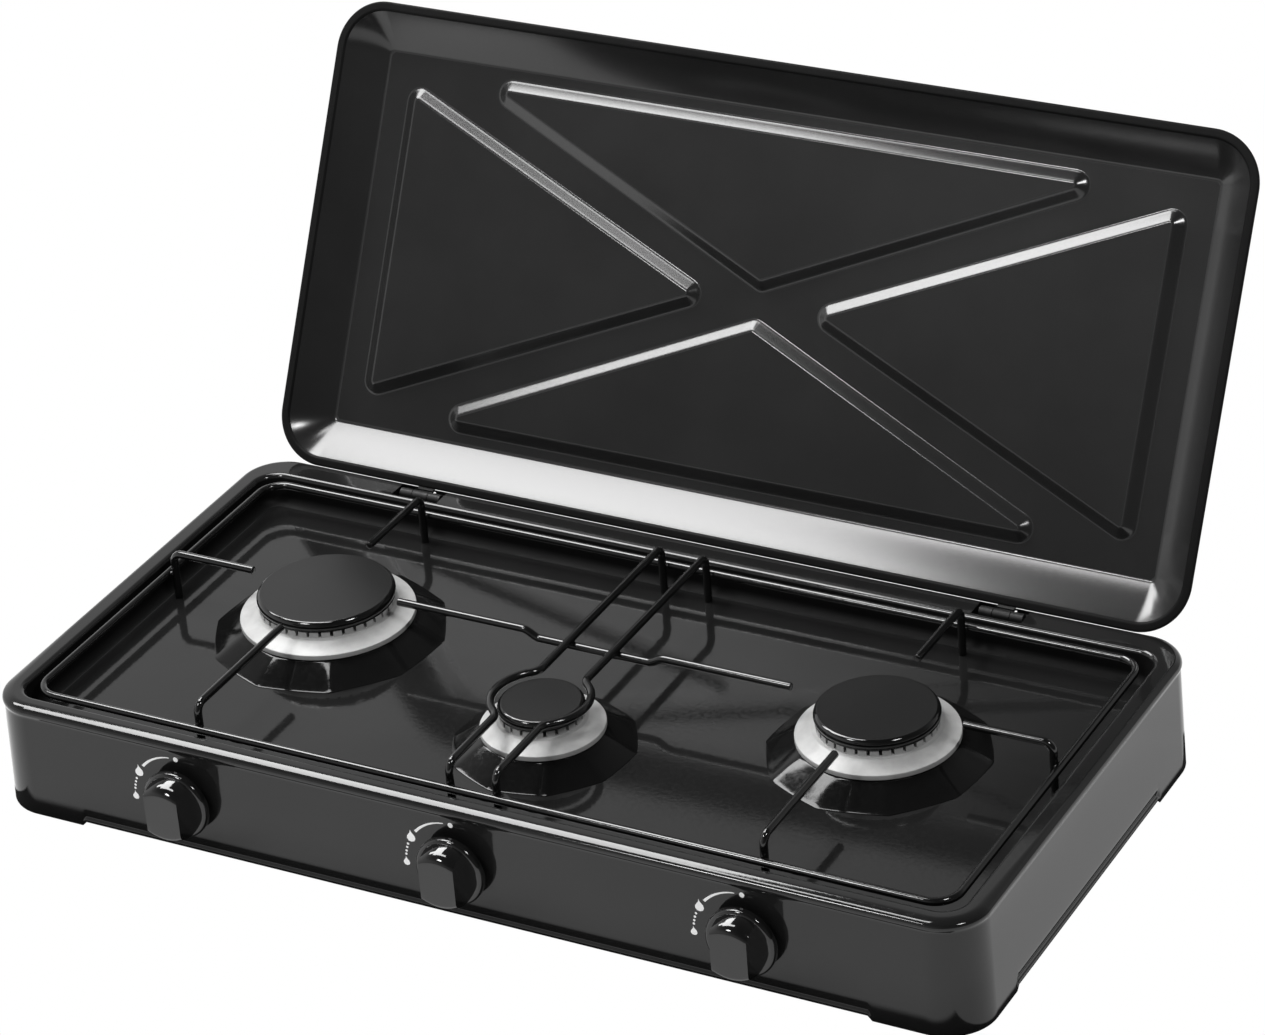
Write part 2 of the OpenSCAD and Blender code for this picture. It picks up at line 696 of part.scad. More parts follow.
// The enamelled cap, with a boss that centres it in the crown
module cap(b) at_burner(b) rotate_extrude() polygon(concat(
    [[0, cap_z - cap_boss], [cap_r(b) - crown_lip - tooth_w - cap_taper, cap_z - cap_boss],
        [cap_r(b) - crown_lip - tooth_w - slide_gap, cap_z], [cap_r(b), cap_z]],
    arc([cap_r(b) - cap_round, cap_z + cap_t - cap_round], cap_round, 0, 90),
    [[0, cap_z + cap_t]]));

module large_cap() color("#262628") cap(large);
module small_cap() color("#262628") cap(small);
module medium_cap() color("#262628") cap(medium);

// The tube that carries gas and air from an injector into its cup
module mixing_tube(b) placed() {
    tube_l = b[1] - bore_r(b) + tube_end - tube_front_y;
    translate([b[0], tube_front_y, knob_z]) rotate([-90, 0, 0]) difference() {
        union() {
            cylinder(d = tube_d, h = tube_l);
            cylinder(d1 = bell_d, d2 = tube_d, h = bell_l);
        }
        translate([0, 0, -eps]) cylinder(d = tube_d - 2 * tube_wall, h = tube_l + 2 * eps);
        cylinder(d1 = bell_d - 2 * tube_wall, d2 = tube_d - 2 * tube_wall, h = bell_l);
    }
}

module large_mixing_tube() color("#b4b4b6") mixing_tube(large);
module small_mixing_tube() color("#b4b4b6") mixing_tube(small);
module medium_mixing_tube() color("#b4b4b6") mixing_tube(medium);

module injector(x) placed() difference() {
    union() {
        hex_y([x, tap_back_y, knob_z], injector_d, injector_l - injector_nose);
        along_y([x, tap_back_y, knob_z], injector_nose_d, injector_l);
    }
    along_y([x, tap_back_y - eps, knob_z], jet_d, injector_l + 2 * eps);
}

module large_injector() color("#b99a4d") injector(-knob_x);
module small_injector() color("#b99a4d") injector(0);
module medium_injector() color("#b99a4d") injector(knob_x);

// A tap: a body bored for its spindle, and a neck that stands in the gas rail
module tap_body(x) placed() difference() {
    union() {
        along_y([x, tap_front_y, knob_z], tap_d, tap_l);
        translate([x, rail_y, rail_z]) cylinder(d = tap_neck_d, h = knob_z - rail_z);
    }
    along_y([x, tap_front_y - eps, knob_z], spindle_d + 2 * run_gap, tap_bore_l + eps);
}

module left_tap_body() color("#b99a4d") tap_body(-knob_x);
module middle_tap_body() color("#b99a4d") tap_body(0);
module right_tap_body() color("#b99a4d") tap_body(knob_x);

// What is drawn upright here lies along -Y, out of the front panel, at a knob
module at_knob(x) {
    placed() translate([x, knob_back_y, knob_z]) rotate([90, 0, 0]) children();
}

module tap_spindle(x) at_knob(x) {
    inner_l = tap_front_y + spindle_in - knob_back_y;
    translate([0, 0, -inner_l]) cylinder(d = spindle_d, h = inner_l);
    intersection() {
        cylinder(d = spindle_d, h = knob_hold - eps);
        translate([-spindle_d, -spindle_d, 0]) cube([2 * spindle_d, spindle_d + knob_flat, knob_hold]);
    }
}

module left_tap_spindle() color("#a0a0a3") tap_spindle(-knob_x);
module middle_tap_spindle() color("#a0a0a3") tap_spindle(0);
module right_tap_spindle() color("#a0a0a3") tap_spindle(knob_x);

// The sprung washer that carries the spindle as the knob is pushed in
module thrust_washer(x) placed() difference() {
    along_y([x, washer_y - washer_t, knob_z], washer_d, washer_t);
    along_y([x, washer_y - washer_t - eps, knob_z], spindle_d + 2 * run_gap, washer_t + 2 * eps);
}

module left_thrust_washer() color("#a0a0a3") thrust_washer(-knob_x);
module middle_thrust_washer() color("#a0a0a3") thrust_washer(0);
module right_thrust_washer() color("#a0a0a3") thrust_washer(knob_x);

// A knob: a round-edged disc and a grip whose ends slope back to the disc
module knob(x) at_knob(x) difference() {
    union() {
        rotate_extrude() polygon(concat(
            [[0, 0], [knob_d / 2, 0]],
            arc([knob_d / 2 - knob_edge_r, disc_t - knob_edge_r], knob_edge_r, 0, 90),
            [[0, disc_t]]));
        intersection() {
            cylinder(d = knob_d, h = knob_l);
            translate([-grip_w / 2, 0, 0]) rotate([90, 0, 90]) linear_extrude(grip_w)
                polygon([
                    [knob_edge_r - knob_d / 2, disc_t - knob_edge_r], [-grip_face / 2, knob_l],
                    [grip_face / 2, knob_l], [knob_d / 2 - knob_edge_r, disc_t - knob_edge_r],
                    [0, eps]]);
        }
    }
    intersection() {
        translate([0, 0, -eps]) cylinder(d = spindle_d + 2 * run_gap, h = knob_hold + eps);
        translate([-spindle_d, -spindle_d, -eps])
            cube([2 * spindle_d, spindle_d + knob_flat + run_gap, knob_hold + 2 * eps]);
    }
}

module left_knob() color("#161618") knob(-knob_x);
module middle_knob() color("#161618") knob(0);
module right_knob() color("#161618") knob(knob_x);

// The rail that feeds the taps, closed at both ends, with the feed pipe let into its rear side
module gas_rail() color("#9a9a9d") placed() difference() {
    rail_l = rail_ends[1] - rail_ends[0];
    rail_mid = (rail_ends[0] + rail_ends[1]) / 2;
    along_x([rail_mid, rail_y, rail_z], rail_d, rail_l);
    along_x([rail_mid, rail_y, rail_z], rail_d - 2 * rail_wall, rail_l + 2 * eps);
    for (x = [-knob_x, 0, knob_x]) translate([x, rail_y, rail_z])
        cylinder(d = tap_neck_d + 2 * run_gap, h = rail_d);
    along_y([inlet_x, rail_y, rail_z], feed_d + 2 * run_gap, rail_d);
}

module rail_plugs() color("#b99a4d") placed() for (s = [0, 1]) translate([rail_ends[s], rail_y, rail_z])
    mirror([s, 0, 0]) rotate([0, 90, 0]) {
        translate([0, 0, -plug_t]) cylinder(d = rail_d, h = plug_t);
        cylinder(d = rail_d - 2 * rail_wall - 2 * run_gap, h = plug_in);
    }

// The pipe from the hose nozzle to the rail
module feed_pipe() color("#9a9a9d") placed() difference() {
    feed_l = nozzle_y + feed_in - rail_y - slide_gap;
    along_y([inlet_x, rail_y, rail_z], feed_d, feed_l);
    along_y([inlet_x, rail_y - eps, rail_z], feed_d - 2 * feed_wall, feed_l + 2 * eps);
}

// The hose nozzle: a threaded body through the rear skirt, a hexagon collar and a plain spigot
module hose_nozzle() color("#b99a4d") placed() difference() {
    union() {
        along_y([inlet_x, nozzle_y, rail_z], nozzle_d, nozzle_in + 2 * sheet);
        hex_y([inlet_x, inlet_y + slide_gap, rail_z], hex_d, hex_t);
        along_y([inlet_x, inlet_y, rail_z], spigot_d, hex_t + slide_gap + spigot_l);
    }
    along_y([inlet_x, nozzle_y - eps, rail_z], feed_d + 2 * run_gap, feed_in + eps);
    along_y([inlet_x, nozzle_y, rail_z], gas_bore_d, nozzle_in + hex_t + spigot_l + 3 * eps);
}

module nozzle_nut() color("#b99a4d") placed() difference() {
    hex_y([inlet_x, inlet_y - sheet - slide_gap - nut_t, rail_z], hex_d, nut_t);
    along_y([inlet_x, inlet_y - sheet - nut_t - 2 * eps, rail_z], nozzle_d + 2 * run_gap, nut_t + 3 * eps);
}

// Hangers welded under the tray, each with an eye round the gas rail
module rail_brackets() color("#39393b") placed() for (x = [-hanger_x, hanger_x]) difference() {
    union() {
        translate([x, rail_y - hanger_w / 2, rail_z]) cube([hanger_t, hanger_w, under_z - rail_z]);
        translate([x, rail_y, rail_z]) rotate([0, 90, 0]) cylinder(d = hanger_w, h = hanger_t);
        translate([x, rail_y - hanger_w / 2, under_z - hanger_t]) cube([hanger_w, hanger_w, hanger_t]);
    }
    along_x([x, rail_y, rail_z], rail_d + 2 * run_gap, 4 * hanger_t);
}

module burner_screws() color("#a0a0a3") placed() for (b = [large, small, medium], p = screw_places(b))
    translate([p[0], p[1], under_z - flange_t - eps]) {
        cylinder(d = screw_d, h = flange_t + sheet + 2 * eps);
        translate([0, 0, flange_t + sheet + eps]) cylinder(d = screw_head_d, h = screw_head_t);
    }

body_shell();
lid_panel();
left_hinge_bracket();
right_hinge_bracket();
left_hinge_leaf();
right_hinge_leaf();
left_hinge_pin();
right_hinge_pin();
bracket_rivets();
frame_front_bar();
frame_rear_bar();
frame_left_end();
frame_right_end();
grate_cross_wire();
grate_left_rail();
grate_right_rail();
left_rail_loop();
right_rail_loop();
left_grate_fingers();
right_grate_fingers();
large_burner_cup();
small_burner_cup();
medium_burner_cup();
large_drip_ring();
small_drip_ring();
medium_drip_ring();
large_crown();
small_crown();
medium_crown();
large_cap();
small_cap();
medium_cap();
large_mixing_tube();
small_mixing_tube();
medium_mixing_tube();
large_injector();
small_injector();
medium_injector();
left_tap_body();
middle_tap_body();
right_tap_body();
left_tap_spindle();
middle_tap_spindle();
right_tap_spindle();
left_thrust_washer();
middle_thrust_washer();
right_thrust_washer();
left_knob();
middle_knob();
right_knob();
gas_rail();
rail_plugs();
feed_pipe();
hose_nozzle();
nozzle_nut();
rail_brackets();
burner_screws();
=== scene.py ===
import math

import bmesh
import bpy
import numpy as np
from mathutils import Matrix, Vector
from mathutils.geometry import delaunay_2d_cdt


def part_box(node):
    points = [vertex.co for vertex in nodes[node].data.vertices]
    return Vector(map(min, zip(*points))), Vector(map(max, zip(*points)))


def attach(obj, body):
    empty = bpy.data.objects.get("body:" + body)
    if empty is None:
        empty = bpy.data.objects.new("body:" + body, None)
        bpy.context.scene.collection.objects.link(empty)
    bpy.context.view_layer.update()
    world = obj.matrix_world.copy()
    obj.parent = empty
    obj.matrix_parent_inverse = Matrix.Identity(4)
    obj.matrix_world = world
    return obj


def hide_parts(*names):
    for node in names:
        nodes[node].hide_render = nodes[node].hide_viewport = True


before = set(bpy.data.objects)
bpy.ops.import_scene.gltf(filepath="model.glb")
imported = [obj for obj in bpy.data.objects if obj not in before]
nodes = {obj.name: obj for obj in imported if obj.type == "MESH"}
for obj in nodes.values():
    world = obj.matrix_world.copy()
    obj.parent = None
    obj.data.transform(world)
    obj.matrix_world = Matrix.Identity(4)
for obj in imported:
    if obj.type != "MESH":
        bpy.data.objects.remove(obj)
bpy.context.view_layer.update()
mm = 0.001
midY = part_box("body_shell")[0].y + 0.144648  # the tray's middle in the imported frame
burners = {
    "large": {"at": (-170, 14), "capR": 39, "teeth": 36},
    "small": {"at": (0, -45), "capR": 23.75, "teeth": 22},
    "medium": {"at": (170, 14), "capR": 34, "teeth": 32},
}
knobX = {"left": -170, "middle": 0, "right": 170}
print("stage: frame loaded")


def place(x, y, z):  # from millimetres about the tray's middle to the frame
    return Vector((x * mm, y * mm + midY, z * mm))


def clamp(v):
    return min(1.0, max(0.0, v))


def around(n):
    return [2 * math.pi * k / n for k in range(n)]


def bend(a, t):
    return (a[0] * math.cos(t) - a[1] * math.sin(t), a[0] * math.sin(t) + a[1] * math.cos(t))


def arc(cx, cy, r, start, end, n):
    steps = [math.radians(start + (end - start) * k / n) for k in range(n + 1)]
    return [(cx + r * math.cos(s), cy + r * math.sin(s)) for s in steps]


def soften(mesh, angle, join=2e-6):
    bm = bmesh.new()
    bm.from_mesh(mesh)
    bmesh.ops.remove_doubles(bm, verts=bm.verts, dist=join)
    bmesh.ops.recalc_face_normals(bm, faces=bm.faces)
    limit = math.radians(angle)
    for face in bm.faces:
        face.smooth = True
    for edge in bm.edges:
        edge.smooth = not (len(edge.link_faces) == 2 and edge.calc_face_angle(0) > limit)
    bm.to_mesh(mesh)
    bm.free()


def addPiece(name, points, faces, material, body, slotName, stands, angle, origin=None):
    mesh = bpy.data.meshes.new(name)
    shift = origin or Vector((0, 0, 0))
    mesh.from_pydata([tuple(Vector(p) - shift) for p in points], [], faces)
    soften(mesh, angle)
    mesh.materials.append(material)
    piece = bpy.data.objects.new(name, mesh)
    bpy.context.scene.collection.objects.link(piece)
    piece.location = shift
    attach(piece, body)
    if stands:
        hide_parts(*stands)
    even = piece.modifiers.new("even", "WEIGHTED_NORMAL")  # large flats keep their true facing
    even.keep_sharp, even.weight = True, 60
    return piece


def grid(rows, closeRow=True, closeColumn=False):
    points = [p for row in rows for p in row]
    width, faces = len(rows[0]), []
    for i in range(len(rows) if closeColumn else len(rows) - 1):
        for k in range(width if closeRow else width - 1):
            a, b = i * width + k, i * width + (k + 1) % width
            up = ((i + 1) % len(rows)) * width
            faces.append((a, b, up + (k + 1) % width, up + k))
    return points, faces


def merge(*parts):
    points, faces = [], []
    for p, f in parts:
        start = len(points)
        points += list(p)
        faces += [tuple(v + start for v in face) for face in f]
    return points, faces


def lathe(profile, turns, wobble=None):
    rows = []
    for r, z in profile:
        row = []
        for t in around(turns):
            s = wobble(r, t) if wobble else 1
            row.append(Vector((r * s * math.cos(t), r * s * math.sin(t), z)) * mm)
        rows.append(row)
    return grid(rows)


roundTip = [(0.0, 0.35), (0.25, 0.75), (0.6, 0.94), (1.0, 1.0)]  # along a wire's tip, share of its radius


def tube(path, r, sides=20, tip=0.0006):
    line = [Vector(p) for p in path]
    end = len(line) - 1
    runs = [(line[min(i + 1, end)] - line[max(i - 1, 0)]).normalized() for i in range(end + 1)]
    side = runs[0].orthogonal().normalized()
    stations = []
    for p, run in zip(line, runs):
        side = (side - run * side.dot(run)).normalized()
        stations.append((p, run, side))
    first, last = stations[0], stations[-1]
    shaped = [(first[0] + first[1] * tip * e, first[1], first[2], s) for e, s in roundTip]
    shaped += [(*s, 1.0) for s in stations[1:-1]]
    shaped += [(last[0] - last[1] * tip * e, last[1], last[2], s) for e, s in reversed(roundTip)]
    rings = []
    for p, run, across, share in shaped:
        up = run.cross(across)
        rings.append([p + (across * math.cos(a) + up * math.sin(a)) * r * share for a in around(sides)])
    points, faces = grid(rings)
    n = len(rings) * sides
    faces += [tuple(reversed(range(sides))), tuple(range(n - sides, n))]
    return points, faces


def isInside(loop, x, y):
    a = np.array([p[:2] for p in loop])
    b = np.roll(a, -1, axis=0)
    crosses = (a[:, 1] > y) != (b[:, 1] > y)
    rise = np.where(crosses, b[:, 1] - a[:, 1], 1.0)
    return bool(np.sum(crosses & (x < a[:, 0] + (y - a[:, 1]) / rise * (b[:, 0] - a[:, 0]))) % 2)


def flat(outer, holes, z):
    points, edges = [], []
    for loop in [outer, *holes]:
        start = len(points)
        points += [Vector(p[:2]) for p in loop]
        edges += [(start + k, start + (k + 1) % len(loop)) for k in range(len(loop))]
    made = delaunay_2d_cdt(points, edges, [], 0, 1e-7)
    faces = []
    for face in made[2]:
        x, y = (sum(made[0][v][k] for v in face) / len(face) for k in (0, 1))
        if isInside(outer, x, y) and not any(isInside(hole, x, y) for hole in holes):
            faces.append(tuple(face))
    return [Vector((p.x, p.y, z)) for p in made[0]], faces


def track(w, d, r, stopsX=(), stopsY=(), turn=22, step=16):  # points round a rounded oblong, with outward ways
    hw, hd = w / 2, d / 2
    samples = []
    for i in range(4):
        along, out, stops = ((hw, hd, stopsX), (hd, hw, stopsY))[i % 2]
        ends = along - r
        evenly = list(np.linspace(-ends, ends, max(3, int(2 * ends / step))))
        marks = sorted(set(round(float(s), 4) for s in evenly + [s for s in stops if abs(s) < ends]))
        t = math.radians(90 * i)
        for m in marks:
            samples.append((*bend((m, -out), t), *bend((0, -1), t)))
        for k in range(1, turn):
            a = math.radians(-90 + 90 * k / turn)
            n = (math.cos(a), math.sin(a))
            samples.append((*bend((ends + r * n[0], -out + r + r * n[1]), t), *bend(n, t)))
    return samples


def offsetLine(line, t):
    made = []
    for i, p in enumerate(line):
        a, b = line[max(i - 1, 0)], line[min(i + 1, len(line) - 1)]
        dx, dy = b[0] - a[0], b[1] - a[1]
        size = math.hypot(dx, dy) or 1
        made.append((p[0] + t * dy / size, p[1] - t * dx / size))
    return made


def nodeSet(owner, shader="Principled BSDF"):
    tree = owner.node_tree
    made = {"shader": tree.nodes[shader]}

    def add(kind, **values):
        n = tree.nodes.new(kind)
        for key, value in values.items():
            if key in n.inputs:
                n.inputs[key].default_value = value
            else:
                setattr(n, key, value)
        return n
    made["add"] = add
    made["join"] = lambda a, b: tree.links.new(a, b)
    return made


def ramp(s, source, low, high, start=0.35, end=0.65):
    r = s["add"]("ShaderNodeValToRGB")
    for stop, position, tone in zip(r.color_ramp.elements, (start, end), (low, high)):
        stop.position = position
        stop.color = (*tone, 1) if hasattr(tone, "__len__") else (tone, tone, tone, 1)
    s["join"](source, r.inputs["Fac"])
    return r.outputs["Color"]


def mapRange(s, source, span, levels, kind="LINEAR"):
    n = s["add"]("ShaderNodeMapRange", interpolation_type=kind)
    for key, value in zip(("From Min", "From Max", "To Min", "To Max"), (*span, *levels)):
        n.inputs[key].default_value = value
    s["join"](source, n.inputs["Value"])
    return n.outputs["Result"]


def reckon(s, operation, *values):  # a math node on numbers and sockets
    n = s["add"]("ShaderNodeMath", operation=operation)
    for socket, value in zip(n.inputs, values):
        if isinstance(value, (int, float)):
            socket.default_value = value
        else:
            s["join"](value, socket)
    return n.outputs[0]


def coated(name, tone, rough, peel=0.02, peelSize=420, wave=0.0, metal=0.0, cloudy=14, shine=0.5):
    material = bpy.data.materials.new(name)
    material.use_nodes = True
    s = nodeSet(material)
    spot = s["add"]("ShaderNodeTexCoord")
    cloud = s["add"]("ShaderNodeTexNoise", Scale=cloudy, Detail=4.0, Roughness=0.6)
    grain = s["add"]("ShaderNodeTexNoise", Scale=peelSize, Detail=3.0, Roughness=0.55)
    for n in (cloud, grain):
        s["join"](spot.outputs["Object"], n.inputs["Vector"])
    s["join"](ramp(s, cloud.outputs["Fac"], *tone), s["shader"].inputs["Base Color"])
    s["join"](ramp(s, grain.outputs["Fac"], *rough), s["shader"].inputs["Roughness"])
    bump = s["add"]("ShaderNodeBump", Strength=peel, Distance=0.0006)
    s["join"](grain.outputs["Fac"], bump.inputs["Height"])
    if wave:
        swell = s["add"]("ShaderNodeTexNoise", Scale=9.0, Detail=1.0)
        s["join"](spot.outputs["Object"], swell.inputs["Vector"])
        broad = s["add"]("ShaderNodeBump", Strength=wave, Distance=0.01)
        s["join"](swell.outputs["Fac"], broad.inputs["Height"])
        s["join"](broad.outputs["Normal"], bump.inputs["Normal"])
    s["join"](bump.outputs["Normal"], s["shader"].inputs["Normal"])
    s["shader"].inputs["Metallic"].default_value = metal
    s["shader"].inputs["Specular IOR Level"].default_value = shine
    return material


def turned(name, tone, rough, metal, shine, coat, rings=900, depth=0.1, coatRough=0.12):
    material = coated(name, tone, rough, peel=0.03, peelSize=900, metal=metal, cloudy=60, shine=shine)
    s = nodeSet(material)
    spot = s["add"]("ShaderNodeTexCoord")
    wave = s["add"]("ShaderNodeTexWave", Scale=rings, Distortion=1.2, Detail=2.0)
    wave.wave_type, wave.rings_direction = "RINGS", "Z"
    s["join"](spot.outputs["Object"], wave.inputs["Vector"])
    old = s["shader"].inputs["Normal"].links[0].from_node
    bump = s["add"]("ShaderNodeBump", Strength=depth, Distance=0.0002)
    s["join"](wave.outputs["Fac"], bump.inputs["Height"])
    s["join"](old.outputs["Normal"], bump.inputs["Normal"])
    s["join"](bump.outputs["Normal"], s["shader"].inputs["Normal"])
    s["shader"].inputs["Coat Weight"].default_value = coat
    s["shader"].inputs["Coat Roughness"].default_value = coatRough
    return material


looks = {  # name, tones, roughness
    "tray": coated("trayEnamel", (0.0075, 0.0095), (0.05, 0.1), wave=0.01, shine=0.36),
    "lid": coated("lidEnamel", (0.0095, 0.0125), (0.18, 0.2), peel=0.004, peelSize=500),
    "panel": coated("lidPanelEnamel", (0.01, 0.013), (0.3, 0.38), peel=0.05, peelSize=700, shine=0.12),
    "ring": coated("ringEnamel", (0.0035, 0.005), (0.07, 0.13), shine=0.22),
    "wire": coated("wireEnamel", (0.0035, 0.005), (0.08, 0.14), peel=0.04, peelSize=600),
    "cap": coated("capEnamel", (0.005, 0.007), (0.2, 0.27), peel=0.06, peelSize=1500, shine=0.3),
    # a darker, glossier copy of the cap enamel for the cap's sides: painted shade on the sides, with a glossier
    # finish
    "capEdge": coated("capEdgeEnamel", (0.003, 0.004), (0.05, 0.09), peelSize=1500),
    "knob": coated("knobPlastic", (0.0035, 0.005), (0.05, 0.09), peelSize=900),
    "crown": turned("turnedAluminium", ((0.31, 0.31, 0.308), (0.39, 0.39, 0.387)), (0.34, 0.44),
                    metal=0.04, shine=0.15, coat=0.12),
    # a darker, rougher, less glossy copy of the enamel for the tray's wall, the rim behind the lid's hem and the
    # lid's hem edge: painted shade
    "bend": coated("paintedShadeEnamel", (0.003, 0.004), (0.5, 0.6), shine=0.08),
    "cast": coated("castAluminium", (0.3, 0.42), (0.42, 0.6), peel=0.35, peelSize=700, metal=1.0),
    "zinc": coated("zincSteel", ((0.3, 0.3, 0.295), (0.45, 0.45, 0.45)), (0.3, 0.48), peel=0.08, metal=1.0,
                   cloudy=160),
    "steel": coated("brightSteel", (0.4, 0.52), (0.2, 0.34), peel=0.06, peelSize=1400, metal=1.0),
    "brass": coated("machinedBrass", ((0.46, 0.32, 0.12), (0.6, 0.43, 0.18)), (0.24, 0.4), peel=0.05,
                    peelSize=1200, metal=1.0, cloudy=90),
    "fitting": coated("fittingPaint", (0.005, 0.007), (0.45, 0.58), peel=0.1, peelSize=900, shine=0.25),
    "ink": coated("whiteInk", (0.8, 0.9), (0.4, 0.55), peel=0.04, peelSize=1500),
}
print("stage: materials made")

shell = {
    "w": 590, "d": 287, "r": 26, "rim": 68, "tray": 50, "sheet": 1, "inset": 0.8, "flare": 1.8, "top": 62,
    "hem": 2.6, "footX": 239, "footY": 93.5, "sideX": 280, "sideY": 130,
    "rampX": (230, 233, 235, 236.4, 237.2, 238.1, 239, 241, 245),
    "rampY": (85, 88, 89.6, 90.9, 91.8, 92.6, 93.5, 95.5, 99),
    "hemLine": ((1.5, 1.5), (1.25, 0.5), (0.7, 0), (0.22, 0.22), (0, 0.8)), "crease": 0.9,
    "creaseLine": ((1.9, 0), (2.5, 0.35), (3.1, 0.9), (3.8, 1), (4.8, 0.85), (6.0, 0.4), (7.4, 0.08), (9, 0)),
    "skirtZ": (16, 26, 34, 44, 54, 60.6),
    "shoulder": ((0.76, 61.4), (0.64, 62.1), (0.42, 62.7), (0.2, 63.2), (0.05, 63.7)),
    "rimR": 4, "frontLess": 1.4, "frontMore": 7, "frontFrom": 60, "frontRun": 60, "kneeCos": 0.866,
    "innerR": 3, "wall": ((13.5, 62), (14.1, 58.6)), "filletR": 6,
    "back": 6.3, "backIn": 8, "backFade": 2, "backFrom": 100, "backRun": 12,
    "holeIn": 9.2, "notchX": 184, "notch": (140.85, 30, 14.7), "notchBack": (149.2, 12, 8), "notchZ": 67.2,
    "notchH": 16, "knobHole": (-143.6, 34, 10), "inlet": (232, 149.9, 15), "inletD": 12.6, "bore": 6,
}
# where the tray's wall and the rear rim take that darker copy: painted shade
paintedShadeZone = {"x": 0.2822, "y": 0.1307, "z": (0.0502, 0.0658), "flat": 0.98, "rimY": 0.1453, "rimZ": 0.0638}  # metres


def shellLean(z):
    return shell["inset"] - (shell["top"] - z) * math.tan(math.radians(shell["flare"]))


def footShare(x, y):
    hem = shell["hem"]
    alongX = (abs(x) - shell["footX"] + hem) / hem if abs(y) > shell["sideY"] else 0
    alongY = (abs(y) - shell["footY"] + hem) / hem if abs(x) > shell["sideX"] else 0
    return clamp(max(alongX, alongY))


def backShift(i, y):  # only the rim's outer half and the skirt reach further back
    outer = clamp((shell["backIn"] - i) / shell["backFade"])
    return shell["back"] * outer * clamp((y - shell["backFrom"]) / shell["backRun"])


def shellLine(f, full):
    z0, c = shell["hem"] * (1 - f), shell["crease"] * (1 - f)
    low, rim, tray, knee = shellLean(z0), shell["rim"], shell["tray"], shell["kneeCos"]
    line = [(low + i, z0 + h) for i, h in shell["hemLine"]]
    line += [(shellLean(z0 + h) + c * k, z0 + h) for h, k in shell["creaseLine"]]
    line += [(shellLean(z), z) for z in shell["skirtZ"]] + list(shell["shoulder"])
    small = shell["rimR"] - shell["frontLess"] * full  # the front rim is rounder on top than the others
    wide = shell["rimR"] + shell["frontMore"] * full
    line += arc(small, rim - wide * (1 - knee) - small * knee, small, 180, 120, 9)[:-1]
    line += arc((small + wide) / 2, rim - wide, wide, 120, 90, 12) + [(8, rim)]
    line += arc(10, rim - shell["innerR"], shell["innerR"], 90, 0, 10) + list(shell["wall"])
    line += arc(20.5, tray + shell["filletR"], shell["filletR"], 180, 270, 12) + [(22, tray)]
    return line


def cutShell(piece):  # hinge notches, knob holes and the inlet
    tool = bmesh.new()
    for s in (-1, 1):
        for y, w, d in (shell["notch"], shell["notchBack"]):
            at = Matrix.Translation(place(s * shell["notchX"], y, shell["notchZ"]))
            size = Matrix.Diagonal((w * mm, d * mm, shell["notchH"] * mm, 1))
            bmesh.ops.create_cube(tool, size=1, matrix=at @ size)
    wallY, holeZ, holeD = shell["knobHole"]
    holes = [((x, wallY, holeZ), holeD) for x in knobX.values()] + [(shell["inlet"], shell["inletD"])]
    for at, wide in holes:
        lying = Matrix.Translation(place(*at)) @ Matrix.Rotation(math.radians(90), 4, "X")
        bmesh.ops.create_cone(tool, cap_ends=True, segments=48, radius1=wide * mm / 2, radius2=wide * mm / 2,
                              depth=shell["bore"] * mm, matrix=lying)
    cutMesh = bpy.data.meshes.new("cutter")
    tool.to_mesh(cutMesh)
    tool.free()
    cutter = bpy.data.objects.new("cutter", cutMesh)
    bpy.context.scene.collection.objects.link(cutter)
    piece.modifiers["even"].show_viewport = False
    cut = piece.modifiers.new("cut", "BOOLEAN")
    cut.object, cut.operation, cut.solver, cut.use_self = cutter, "DIFFERENCE", "EXACT", True
    bpy.context.view_layer.update()
    baked = bpy.data.meshes.new_from_object(piece.evaluated_get(bpy.context.evaluated_depsgraph_get()))
    piece.modifiers.remove(cut)
    piece.modifiers["even"].show_viewport = True
    piece.data = baked
    bpy.data.objects.remove(cutter)


def getsPaintedShade(face):  # the tray's wall and the rim behind the lid's hem take a darker, less glossy enamel: painted shade
    p = face.center
    low, high = paintedShadeZone["z"]
    inTray = abs(p.x) < paintedShadeZone["x"] and abs(p.y - midY) < paintedShadeZone["y"]
    wall = low < p.z < high and abs(face.normal.z) < paintedShadeZone["flat"] and inTray
    return wall or (p.y - midY > paintedShadeZone["rimY"] and p.z > paintedShadeZone["rimZ"])


